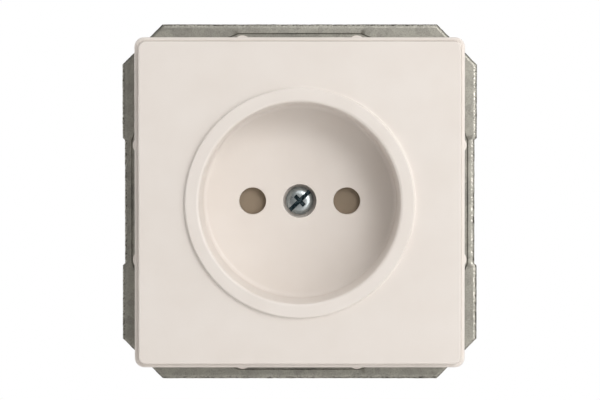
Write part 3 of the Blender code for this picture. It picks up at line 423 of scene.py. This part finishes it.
white_plastic = moulded_plastic("white_plastic", (0.88, 0.84, 0.805), (0.855, 0.81, 0.77), 0.34,
                                coat_weight=0.12, coat_roughness=0.25)
cover = lofted("cover_plate_skin", plate_rings())
nubs = grown("snap_nubs", snap_nubs_tree(), {
    "Half Side": plate_half, "Offset": 11.3 * MM, "Stand": nub_stand, "Width": 2.85 * MM,
    "Length": 1.9 * MM, "Depth": lip_back + 0.65 * MM, "Plastic": white_plastic})
pegs = [turned("peg", [(peg_radius, floor_back - MM), (peg_radius, boss_back)], (0, z), 32)
        for z in (peg_z, -peg_z)]
boss = turned("boss", [(boss_radius, floor_back - MM), (boss_radius, boss_back)])
worked(cover, "UNION", [nubs, boss, *pegs])
notch_half = 3.5 * MM
notches = []
for quarter in range(4):
    notch = slab("notch", [(skirt_inner - MM, -notch_half), (plate_half + MM, -notch_half),
                           (plate_half + MM, notch_half), (skirt_inner - MM, notch_half)],
                 lip_back + 0.3 * MM, skirt_back + MM)
    notch.data.transform(Matrix.Rotation(quarter * math.pi / 2, 4, "Y"))
    notches.append(notch)
worked(cover, "DIFFERENCE", [
    bore("head_bore", head_bore_radius, floor_front, seat),
    bore("shank_bore", shank_bore_radius, seat, boss_back + MM, lip=0.0),
    *[bore("pin_hole", pin_hole_radius, floor_front, floor_back + MM, (x, 0)) for x in (-pin_x, pin_x)],
    *notches,
])
smoothed(cover)
fitted(cover, white_plastic, "socket", "white_plastic", "cover_plate")

# ---- Centre screw
# A zinc-plated steel pan-head screw with a combined slot and cross. It clamps the cover plate and turns in
# the brass insert, and its rolled thread runs up to a plain neck under the head.


def machine_screw_tree():
    """A pan head with a slot and an optional cross, and a shank with a helical thread and a tapered end."""
    tree = bpy.data.node_groups.new("machine_screw", "GeometryNodeTree")
    face = tree.interface
    for label in ("Shank Radius", "Thread Depth", "Pitch", "Neck", "Length", "Head Radius", "Head Height",
                  "Slot Width", "Slot Depth", "Cross Length", "Slot Angle"):
        face.new_socket(label, in_out="INPUT", socket_type="NodeSocketFloat")
    face.new_socket("Rows", in_out="INPUT", socket_type="NodeSocketInt")
    face.new_socket("Metal", in_out="INPUT", socket_type="NodeSocketMaterial")
    face.new_socket("Geometry", in_out="OUTPUT", socket_type="NodeSocketGeometry")
    given = tree.nodes.new("NodeGroupInput").outputs

    def math_node(operation, *values):
        return add(tree, "ShaderNodeMath", dict(enumerate(values)), operation=operation).outputs[0]

    def turned_grid(rows, radius_and_height):
        """A grid rolled up round Z. radius_and_height works from the turn and the row, both 0 to 1."""
        grid = add(tree, "GeometryNodeMeshGrid",
                   {"Size X": 1.0, "Size Y": 1.0, "Vertices X": 49, "Vertices Y": rows}).outputs["Mesh"]
        here = tree.nodes.new("GeometryNodeInputPosition").outputs[0]
        spot = add(tree, "ShaderNodeSeparateXYZ", {0: here})
        turn, row = (math_node("ADD", spot.outputs[i], 0.5) for i in (0, 1))
        radius, height = radius_and_height(turn, row)
        angle = math_node("MULTIPLY", turn, 2 * math.pi)
        place = add(tree, "ShaderNodeCombineXYZ", {
            0: math_node("MULTIPLY", radius, math_node("COSINE", angle)),
            1: math_node("MULTIPLY", radius, math_node("SINE", angle)), 2: height}).outputs[0]
        rolled = add(tree, "GeometryNodeSetPosition", {"Geometry": grid, "Position": place}).outputs[0]
        return add(tree, "GeometryNodeMergeByDistance",
                   {"Geometry": rolled, "Distance": 0.001 * MM}).outputs[0]

    dome_rows, roundness = 12, 0.55

    def head_shape(turn, row):
        along = math_node("MULTIPLY", row, (dome_rows + 1) / dome_rows)
        lean = math_node("MULTIPLY", math_node("MINIMUM", along, 1.0), math.pi / 2)
        bulge = math_node("POWER", math_node("SINE", lean), roundness)
        past = math_node("MAXIMUM", math_node("SUBTRACT", along, 1.0), 0.0)
        past = math_node("MULTIPLY", past, dome_rows)
        radius = math_node("MULTIPLY", given["Head Radius"], math_node("SUBTRACT", bulge, past))
        rise = math_node("POWER", math_node("MAXIMUM", math_node("COSINE", lean), 0.0), roundness)
        return radius, math_node("MULTIPLY", math_node("MULTIPLY", given["Head Height"], rise), -1.0)

    def shank_shape(turn, row):
        inside_head = math_node("MULTIPLY", given["Head Height"], -0.3)
        reach = math_node("SUBTRACT", given["Length"], inside_head)
        height = math_node("MULTIPLY_ADD", row, reach, inside_head)
        phase = math_node("SUBTRACT", math_node("DIVIDE", height, given["Pitch"]), turn)
        crest = math_node("MULTIPLY", math_node("PINGPONG", phase, 0.5), 2.0)
        crest = ramped(tree, crest, 0.12, 0.82)
        threaded = ramped(tree, height, math_node("MULTIPLY", given["Neck"], 0.8), given["Neck"])
        valley = math_node("MULTIPLY", math_node("SUBTRACT", 1.0, crest), threaded)
        radius = math_node("SUBTRACT", given["Shank Radius"],
                           math_node("MULTIPLY", given["Thread Depth"], valley))
        taper_length = math_node("MULTIPLY", given["Shank Radius"], 0.6)
        taper_start = math_node("SUBTRACT", given["Length"], taper_length)
        taper = ramped(tree, height, taper_start, given["Length"], 1.0, 0.62)
        inner = math_node("MULTIPLY", math_node("GREATER_THAN", row, 0.0001),
                          math_node("LESS_THAN", row, 0.9999))
        return math_node("MULTIPLY", math_node("MULTIPLY", radius, taper), inner), height

    head = turned_grid(dome_rows + 2, head_shape)
    shank = turned_grid(given["Rows"], shank_shape)
    solid = add(tree, "GeometryNodeMeshBoolean", operation="UNION", solver="EXACT")
    for part in (head, shank):
        tree.links.new(part, solid.inputs["Mesh 2"])
    slot_size = add(tree, "ShaderNodeCombineXYZ", {
        0: math_node("MULTIPLY", given["Head Radius"], 2.4), 1: given["Slot Width"],
        2: math_node("MULTIPLY", given["Slot Depth"], 2.0)}).outputs[0]
    cross_size = add(tree, "ShaderNodeCombineXYZ", {
        0: given["Slot Width"], 1: given["Cross Length"],
        2: math_node("MULTIPLY", given["Slot Depth"], 2.2)}).outputs[0]
    top = add(tree, "ShaderNodeCombineXYZ",
              {2: math_node("MULTIPLY", given["Head Height"], -1.0)}).outputs[0]
    turn = add(tree, "ShaderNodeCombineXYZ", {2: given["Slot Angle"]}).outputs[0]
    carved = add(tree, "GeometryNodeMeshBoolean", {"Mesh 1": solid.outputs["Mesh"]},
                 operation="DIFFERENCE", solver="EXACT")
    for size in (slot_size, cross_size):
        block = add(tree, "GeometryNodeMeshCube", {"Size": size}).outputs["Mesh"]
        block = add(tree, "GeometryNodeTransform",
                    {"Geometry": block, "Translation": top, "Rotation": turn}).outputs[0]
        tree.links.new(block, carved.inputs["Mesh 2"])
    made = add(tree, "GeometryNodeRealizeInstances", {0: carved.outputs["Mesh"]}).outputs[0]
    made = add(tree, "GeometryNodeSetMaterial", {"Geometry": made, "Material": given["Metal"]}).outputs[0]
    tree.links.new(made, tree.nodes.new("NodeGroupOutput").inputs[0])
    return tree


screw_tree = machine_screw_tree()
slot_share, rows_per_turn = 0.28, 10


def middle(node):
    low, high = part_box(node)
    return (low + high) / 2


def set_screw(node, metal, slot, facing, shank_radius, head_height, slot_angle, pitch,
              cross=True, body=None):
    """A screw in a node's place. Its head's radius, length and axis are read from the node's box.
    facing is 1 for a screw driven towards +Y and -1 for one driven towards -Y."""
    low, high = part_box(node)
    centre = middle(node)
    head_radius = (high.x - low.x) / 2
    length = (high.y - low.y) - head_height
    seat_depth = low.y + head_height if facing > 0 else high.y - head_height
    piece = grown(node + "_threaded", screw_tree, {
        "Shank Radius": shank_radius, "Thread Depth": pitch / 2, "Pitch": pitch, "Neck": MM,
        "Length": length, "Head Radius": head_radius, "Head Height": head_height,
        "Slot Width": head_radius * slot_share, "Slot Depth": head_height / 2,
        "Cross Length": head_radius * (1.0 if cross else slot_share), "Slot Angle": slot_angle,
        "Rows": int(length / pitch * rows_per_turn) + 2, "Metal": metal})
    quarter = Matrix.Rotation(-facing * math.pi / 2, 4, "X")
    piece.data.transform(Matrix.Translation((centre.x, seat_depth, centre.z)) @ quarter)
    smoothed(piece, 42)
    return fitted(piece, metal, body or node, slot, node)


def plated_metal(name, bright, dull, roughness, grain=0.35 * MM, depth=0.006 * MM, metallic=1.0, **sockets):
    """Plated metal: cloudy brightness, and a fine crystalline grain with small dull stains."""
    material, tree, shader = new_finish(name, bright, roughness, metallic, **sockets)
    cloud = patches(tree, 3.0 * MM, 4.0, 0.6).outputs[0]
    colour = mixed(tree, ramped(tree, cloud, 0.35, 0.68), bright, dull)
    fine = patches(tree, grain, 3.0, 0.6).outputs[0]
    colour = mixed(tree, ramped(tree, fine, 0.55, 0.75, 0.0, 0.5), colour, dull)
    tree.links.new(colour, shader.inputs["Base Color"])
    rough = ramped(tree, cloud, 0.3, 0.7, roughness - 0.07, roughness + 0.1)
    tree.links.new(rough, shader.inputs["Roughness"])
    bumped(tree, shader, (fine, depth))
    return material


def painted_slot_shade(metal, node, slot_angle, reach, painted_shade_colour, painted_glint_colour):
    """Paints shade into the metal inside a head's slot, and into its cross as far as reach, with lighter
    painted glints speckled through it.
    """
    tree = metal.node_tree
    shader = tree.nodes["Principled BSDF"]
    low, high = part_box(node)
    place = add(tree, "ShaderNodeTexCoord").outputs["Object"]
    place = add(tree, "ShaderNodeMapping", {"Vector": place, "Location": -middle(node)}).outputs[0]
    place = add(tree, "ShaderNodeMapping", {"Vector": place, "Rotation": (0, slot_angle, 0)}).outputs[0]
    place = add(tree, "ShaderNodeSeparateXYZ", {0: place})
    along, across = [add(tree, "ShaderNodeMath", {0: place.outputs[i]}, operation="ABSOLUTE").outputs[0]
                     for i in (0, 2)]
    half, fade = (high.x - low.x) / 2 * slot_share / 2, 0.05 * MM
    slot = ramped(tree, across, half + fade, half)
    cross = ramped(tree, along, half + fade, half)
    near = ramped(tree, across, reach + fade, reach)
    cross = add(tree, "ShaderNodeMath", {0: cross, 1: near}, operation="MULTIPLY").outputs[0]
    inside = add(tree, "ShaderNodeMath", {0: slot, 1: cross}, operation="MAXIMUM").outputs[0]
    # Painted shade fills the slot and the cross, with lighter painted glints speckled through it.
    painted_glints = ramped(tree, patches(tree, 0.4 * MM, 2.0).outputs[0], 0.50, 0.66, 0.0, 0.6)
    colour = shader.inputs["Base Color"].links[0].from_socket
    colour = mixed(tree, inside, colour, mixed(tree, painted_glints, painted_shade_colour, painted_glint_colour))
    tree.links.new(colour, shader.inputs["Base Color"])


slot_turn = math.radians(43.6)
blue_zinc = plated_metal("blue_zinc", (0.58, 0.64, 0.66), (0.36, 0.41, 0.43), 0.30)
# Painted shade and painted glints in the centre screw's slot and cross.
painted_slot_shade(blue_zinc, "centre_screw", slot_turn, 1.35 * MM,
              (0.025, 0.045, 0.055), (0.20, 0.28, 0.31))
set_screw("centre_screw", blue_zinc, "zinc_plated_screw", 1, 1.5 * MM, 1.9 * MM, -slot_turn, 0.5 * MM)


def softened(node, edge, body, slot, material):
    """A node's own shape with its sharp edges rounded, as moulding and punching leave them."""
    shape = bmesh.new()
    shape.from_mesh(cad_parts[node].data)
    bmesh.ops.remove_doubles(shape, verts=shape.verts, dist=0.001 * MM)
    bmesh.ops.dissolve_limit(shape, angle_limit=math.radians(0.5), verts=shape.verts, edges=shape.edges)
    piece = piece_from(node + "_softened", shape)
    bevel = piece.modifiers.new("edge", "BEVEL")
    bevel.width = edge
    bevel.segments = 2
    bevel.limit_method = "ANGLE"
    bevel.angle_limit = math.radians(30)
    bevel.use_clamp_overlap = True
    as_plain_mesh(piece)
    smoothed(piece, 32)
    return fitted(piece, material, body, slot, node)


# ---- Shutter, its spring and its retainer
# The shutter is a beige moulding that turns aside when two pins press on its ramps together. A wire spring
# turns it back, and a thin moulded plate keeps it against the recess floor.
shutter_plastic = moulded_plastic("shutter_plastic", (0.335, 0.265, 0.195), (0.28, 0.225, 0.16), 0.48)
softened("shutter", 0.12 * MM, "shutter", "shutter_plastic", shutter_plastic)
inner_plastic = moulded_plastic("inner_plastic", (0.72, 0.70, 0.64), (0.66, 0.64, 0.58), 0.45)
softened("shutter_retainer", 0.12 * MM, "socket", "inner_plastic", inner_plastic)
spring_steel = plated_metal("spring_steel", (0.58, 0.59, 0.60), (0.42, 0.43, 0.45), 0.28, grain=0.15 * MM)
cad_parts["shutter_spring"].material_slots[0].material = spring_steel

# ---- Support strap
# Galvanised sheet steel, 1 mm thick, blanked and pressed in one stroke: the middle lies on the wall, the rim
# stands a little proud, and the corners are cut off. The sheared edges are rolled over in front and torn
# behind, with dark specks along them and painted highlight specks along the rolled edge, strongest on the
# lit right side.
strap_low, strap_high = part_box("support_strap")
strap_half, strap_front = strap_high.x, strap_low.y
drawn_by, flat_half, corner_cut, rim_width = 0.46 * MM, 12.3 * MM, 8.0 * MM, 1.75 * MM
strap_drawn = strap_half - drawn_by
sheet, pressed = 1.0 * MM, 0.4 * MM
aperture = 22.1 * MM
slot_reach, slot_half_width, slot_half_length = 30 * MM, 1.7 * MM, 4.5 * MM
hole_reach, hole_radius, claw_hole_radius, rivet_hole_radius = 25 * MM, 1.7 * MM, 1.9 * MM, 1.8 * MM


def strap_outline(inset=0.0):
    """The blanked outline: cut-off corners, and the left and right sides drawn in along their middles."""
    half, drawn, cut = strap_half - inset, strap_drawn - inset, strap_half - corner_cut - inset * 0.42
    right = [(cut, -half), (half, -cut), (half, -flat_half - strap_half + strap_drawn), (drawn, -flat_half),
             (drawn, flat_half), (half, flat_half + strap_half - strap_drawn), (half, cut), (cut, half)]
    return right + [(-x, -z) for x, z in right]


def middle_outline(grow):
    """The eight-sided middle: straight along each side, then sloping in towards the corners."""
    flat = strap_half - rim_width + grow
    end = flat_half + grow * 0.4
    corner = (2.5 * flat + end) / 3.5
    quarter = [(flat, end), (corner, corner), (end, flat)]
    turns = ((1, 0, 0, 1), (0, -1, 1, 0), (-1, 0, 0, -1), (0, 1, -1, 0))
    return [(a * x + b * z, c * x + d * z) for a, b, c, d in turns for x, z in quarter]


fine_bearings = sorted({round(a, 4) for a in (
    *[2 * math.pi * i / 640 - math.pi for i in range(640)],
    *bearings_of(strap_outline()), *bearings_of(middle_outline(0.0)))})


def at_bearings(outline):
    """The outline's points along each bearing from the middle."""
    runs = [(Vector(a), Vector(b)) for a, b in zip(outline, outline[1:] + outline[:1])]
    points = []
    for bearing in fine_bearings:
        ray = Vector((math.cos(bearing), math.sin(bearing)))
        best = None
        for a, b in runs:
            along = b - a
            cross = ray.x * along.y - ray.y * along.x
            if abs(cross) < 1e-12:
                continue
            reach = (a.x * along.y - a.y * along.x) / cross
            share = (a.x * ray.y - a.y * ray.x) / cross
            if reach > 0 and -1e-6 <= share <= 1 + 1e-6:
                best = reach if best is None else min(best, reach)
        points.append((ray.x * best, ray.y * best))
    return points


def torn(points, depth, amount):
    """The points pushed in unevenly, as a sheared edge is."""
    moved = []
    for x, z in points:
        coarse = noise.noise(Vector((x, depth, z)) / (1.1 * MM))
        fine = noise.noise(Vector((x, depth * 2, z)) / (0.35 * MM))
        shrink = 1 - amount * max(0.0, 0.45 + 0.6 * coarse + 0.4 * fine) / math.hypot(x, z)
        moved.append((x * shrink, z * shrink))
    return moved


def strap_rings():
    middle_front, rim_back = strap_front + pressed, strap_front + sheet
    hole, hole_edge = circle(aperture, fine_bearings), circle(aperture + 0.12 * MM, fine_bearings)
    rings = [(hole, middle_front + 0.15 * MM), (hole_edge, middle_front)]
    for share in (0.0, 0.12, 0.3, 0.5, 0.7, 0.88, 1.0):
        rise = share * share * (3 - 2 * share)
        bend = at_bearings(middle_outline((-0.22 + 0.18 * share) * MM))
        rings.append((bend, middle_front - pressed * rise))
    for inset, back, rough in ((0.75, 0.0, 0.0), (0.58, 0.02, 0.0), (0.42, 0.06, 0.0), (0.26, 0.13, 0.01),
                               (0.12, 0.21, 0.03), (0.03, 0.30, 0.06), (0.0, 0.42, 0.08), (0.0, 0.55, 0.08),
                               (0.03, 0.64, 0.16), (0.05, 0.85, 0.20), (0.06, 1.0, 0.12)):
        outline = at_bearings(strap_outline(inset * MM))
        rings.append((torn(outline, back * MM, rough * MM), strap_front + back * MM))
    rings += [(at_bearings(strap_outline(0.4 * MM)), rim_back),
              (at_bearings(middle_outline(0.45 * MM)), rim_back), (at_bearings(middle_outline(0.0)), 0.0),
              (hole_edge, 0.0), (hole, -0.15 * MM)]
    return rings


def oblong(centre, half_width, half_length, steps=12):
    """A slot's outline with round ends, long along Z."""
    x, z = centre
    points = []
    for end, start in ((half_length - half_width, 0.0), (half_width - half_length, math.pi)):
        angles = [start + math.pi * i / steps for i in range(steps + 1)]
        points += [(x + half_width * math.cos(a), z + end + half_width * math.sin(a)) for a in angles]
    return points


def punch(name, radius, x, z):
    """A cutter for a round hole through the strap."""
    return turned(name, [(radius, strap_front - MM), (radius, MM)], (x, z), 40)


strap = lofted("support_strap_pressed", strap_rings(), closed=True)
openings = []
for quarter in range(4):
    box_slot = slab("box_slot", oblong((slot_reach, 0), slot_half_width, slot_half_length),
                    strap_front - MM, MM)
    corner_hole = punch("corner_hole", hole_radius, hole_reach, hole_reach)
    for tool in (box_slot, corner_hole):
        tool.data.transform(Matrix.Rotation(quarter * math.pi / 2, 4, "Y"))
        openings.append(tool)
for side in (-1, 1):
    openings.append(punch("claw_hole", claw_hole_radius, side * middle("claw_screw_right").x, 0))
    openings.append(punch("rivet_hole", rivet_hole_radius, 0, side * middle("strap_rivet_top").z))
worked(strap, "DIFFERENCE", openings)
smoothed(strap, 35)


def galvanised_steel():
    """Zinc with a fine grain and faint spangle, streaks from rolling, dark specks at sheared edges, and
    painted highlight specks along the rolled edge, strongest on the lit right side.
    """
    bright, grey, dark = (0.46, 0.455, 0.41), (0.22, 0.22, 0.20), (0.05, 0.045, 0.035)
    painted_highlight_colour = (0.85, 0.84, 0.78)
    material, tree, shader = new_finish("galvanised_steel", bright, 0.45, 0.92)
    spangle = patches(tree, 1.6 * MM, kind="ShaderNodeTexVoronoi").outputs["Color"]
    tone = add(tree, "ShaderNodeSeparateColor", {0: spangle}).outputs[0]
    colour = mixed(tree, ramped(tree, tone, 0.0, 1.0, 0.0, 0.45), bright, grey)
    grain = patches(tree, 0.16 * MM, 3.0, 0.7).outputs[0]
    colour = mixed(tree, ramped(tree, grain, 0.45, 0.68, 0.0, 0.75), colour, grey)
    blotch = patches(tree, 0.6 * MM, 3.0, 0.6).outputs[0]
    colour = mixed(tree, ramped(tree, blotch, 0.58, 0.72, 0.0, 0.5), colour, grey)
    place = add(tree, "ShaderNodeSeparateXYZ", {0: add(tree, "ShaderNodeTexCoord").outputs["Object"]})
    reach = [add(tree, "ShaderNodeMath", {0: place.outputs[i]}, operation="ABSOLUTE").outputs[0]
             for i in (0, 2)]
    drawn_in = ramped(tree, reach[1], flat_half, flat_half + drawn_by, drawn_by, 0.0)
    across = add(tree, "ShaderNodeMath", {0: reach[0], 1: drawn_in}, operation="ADD").outputs[0]
    far = add(tree, "ShaderNodeMath", {0: across, 1: reach[1]}, operation="MAXIMUM").outputs[0]
    diagonal = add(tree, "ShaderNodeMath", {0: reach[0], 1: reach[1]}, operation="ADD").outputs[0]
    sides = ramped(tree, far, strap_half - 0.50 * MM, strap_half - 0.30 * MM)
    corner_line = 2 * strap_half - corner_cut
    corners = ramped(tree, diagonal, corner_line - 0.5 * MM, corner_line - 0.2 * MM)
    edge = add(tree, "ShaderNodeMath", {0: sides, 1: corners}, operation="MAXIMUM").outputs[0]
    # Dark specks along the sheared edges and the cut corners.
    pits = ramped(tree, patches(tree, 0.28 * MM, 2.0).outputs[0], 0.50, 0.60)
    edge_specks = add(tree, "ShaderNodeMath", {0: edge, 1: pits}, operation="MULTIPLY").outputs[0]
    colour = mixed(tree, edge_specks, colour, dark)
    # Painted highlight: lighter specks along the rolled edge band, faint on most of it and full along the
    # right side, where the light falls.
    rolled = ramped(tree, far, strap_half - 0.80 * MM, strap_half - 0.62 * MM)
    rolled_end = ramped(tree, far, strap_half - 0.48 * MM, strap_half - 0.34 * MM, 1.0, 0.0)
    rolled = add(tree, "ShaderNodeMath", {0: rolled, 1: rolled_end}, operation="MULTIPLY").outputs[0]
    painted_highlight = ramped(tree, patches(tree, 0.36 * MM, 2.0).outputs[0], 0.50, 0.62)
    painted_highlight = add(tree, "ShaderNodeMath", {0: rolled, 1: painted_highlight}, operation="MULTIPLY").outputs[0]
    lit_side = ramped(tree, place.outputs[0], 0.82 * strap_half, 0.94 * strap_half, 0.12, 1.0)
    painted_highlight = add(tree, "ShaderNodeMath", {0: painted_highlight, 1: lit_side}, operation="MULTIPLY").outputs[0]
    colour = mixed(tree, painted_highlight, colour, painted_highlight_colour)
    tree.links.new(colour, shader.inputs["Base Color"])
    rough = ramped(tree, grain, 0.35, 0.7, 0.36, 0.58)
    tree.links.new(rough, shader.inputs["Roughness"])
    bumped(tree, shader, (blotch, 0.012 * MM), (grain, 0.008 * MM))
    return material


galvanised = galvanised_steel()
fitted(strap, galvanised, "socket", "galvanised_steel", "support_strap")

# ---- Strap rivets
# Two tubular steel rivets, set through the strap and the base's ears. The hollow end is rolled over in
# front, and the closed head is behind.


def rivets_tree(pattern):
    """One rivet set on each of two points, above and below the recess."""
    tree = bpy.data.node_groups.new("strap_rivets", "GeometryNodeTree")
    face = tree.interface
    face.new_socket("Spacing", in_out="INPUT", socket_type="NodeSocketFloat")
    face.new_socket("Metal", in_out="INPUT", socket_type="NodeSocketMaterial")
    face.new_socket("Geometry", in_out="OUTPUT", socket_type="NodeSocketGeometry")
    given = tree.nodes.new("NodeGroupInput").outputs
    low = add(tree, "ShaderNodeMath", {0: given["Spacing"], 1: -0.5}, operation="MULTIPLY").outputs[0]
    start = add(tree, "ShaderNodeCombineXYZ", {2: low}).outputs[0]
    step = add(tree, "ShaderNodeCombineXYZ", {2: given["Spacing"]}).outputs[0]
    points = add(tree, "GeometryNodeMeshLine",
                 {"Count": 2, "Start Location": start, "Offset": step}).outputs[0]
    rivet = add(tree, "GeometryNodeObjectInfo", {"Object": pattern}).outputs["Geometry"]
    row = add(tree, "GeometryNodeInstanceOnPoints", {"Points": points, "Instance": rivet}).outputs[0]
    row = add(tree, "GeometryNodeRealizeInstances", {0: row}).outputs[0]
    row = add(tree, "GeometryNodeSetMaterial", {"Geometry": row, "Material": given["Metal"]}).outputs[0]
    tree.links.new(row, tree.nodes.new("NodeGroupOutput").inputs[0])
    return tree


rivet_low, rivet_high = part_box("strap_rivet_top")
rolled_end = [(0.55, 1.6), (0.82, 0.9), (0.9, 0.3), (1.05, 0.06), (1.3, 0.0), (1.7, 0.08), (1.98, 0.3),
              (2.1, 0.62), (2.05, 0.8), (1.5, 0.82)]
closed_head = [(1.5, 0.82), (2.05, 0.8), (2.1, 0.62), (1.95, 0.25), (1.55, 0.04), (1.2, 0.0)]
rivet = turned("rivet", [(r * MM, rivet_low.y + depth * MM) for r, depth in rolled_end]
               + [(r * MM, rivet_high.y - depth * MM) for r, depth in closed_head], steps=48)
rivet_steel = plated_metal("rivet_steel", (0.58, 0.58, 0.55), (0.40, 0.40, 0.38), 0.34, metallic=0.95)
rivets = grown("strap_rivets", rivets_tree(rivet),
               {"Spacing": 2 * middle("strap_rivet_top").z, "Metal": rivet_steel})
bpy.data.objects.remove(rivet)
smoothed(rivets)
fitted(rivets, rivet_steel, "socket", "galvanised_steel", "strap_rivet_top", "strap_rivet_bottom")

# ---- Socket base and back cover
# The insulating body is pressed from light grey thermoset: a ring that takes the cover plate's cup, and
# a block with a chamber for each contact. A lid of the same material closes it, held by two small screws.
base_plastic = moulded_plastic("base_plastic", (0.60, 0.585, 0.54), (0.54, 0.525, 0.48), 0.52,
                               grain=0.3 * MM, grain_depth=0.010 * MM)
softened("socket_base", 0.18 * MM, "socket", "base_plastic", base_plastic)
softened("back_cover", 0.18 * MM, "socket", "base_plastic", base_plastic)
small_zinc = plated_metal("small_screw_zinc", (0.62, 0.64, 0.64), (0.40, 0.42, 0.43), 0.30)
for end, lean in (("top", 20), ("bottom", -20)):
    set_screw("back_cover_screw_" + end, small_zinc, "zinc_plated_screw", -1, 1.0 * MM, 1.2 * MM,
              math.radians(lean), 0.45 * MM, body="socket")

# ---- Contacts, terminals and the threaded insert
# Each contact is a brass strip folded round a pin and squeezed by a steel clip. A brass screw from the
# back draws a threaded steel clamp up under its tongue, with the wire between them.
brass = plated_metal("brass", (0.78, 0.57, 0.27), (0.55, 0.38, 0.17), 0.32)
softened("threaded_insert", 0.1 * MM, "socket", "brass", brass)
clamp_steel = plated_metal("clamp_steel", (0.60, 0.61, 0.59), (0.42, 0.43, 0.42), 0.36)
for hand in ("left", "right"):
    softened("contact_" + hand, 0.08 * MM, "socket", "brass", brass)
    softened("contact_clip_" + hand, 0.06 * MM, "socket", "spring_steel", spring_steel)
    clamp = "terminal_clamp_" + hand
    softened(clamp, 0.15 * MM, clamp, "claw_steel", clamp_steel)
    set_screw("terminal_screw_" + hand, brass, "brass", -1, 1.75 * MM, 2.0 * MM,
              math.radians(65), 0.6 * MM, cross=False)

# ---- Spreading claws
# Forked claws of zinc-plated sheet steel that bite into the wall box. Each has a long screw through the
# strap and a square nut that wedges it open.
claw_steel = plated_metal("claw_steel", (0.57, 0.58, 0.555), (0.36, 0.37, 0.36), 0.38, grain=0.25 * MM,
                          metallic=0.95)
for hand, lean in (("left", 115), ("right", 65)):
    softened("claw_" + hand, 0.12 * MM, "claw_" + hand, "claw_steel", claw_steel)
    softened("claw_nut_" + hand, 0.25 * MM, "claw_nut_" + hand, "claw_steel", claw_steel)
    set_screw("claw_screw_" + hand, small_zinc, "zinc_plated_screw", 1, 1.5 * MM, 1.6 * MM,
              math.radians(lean), 0.5 * MM)
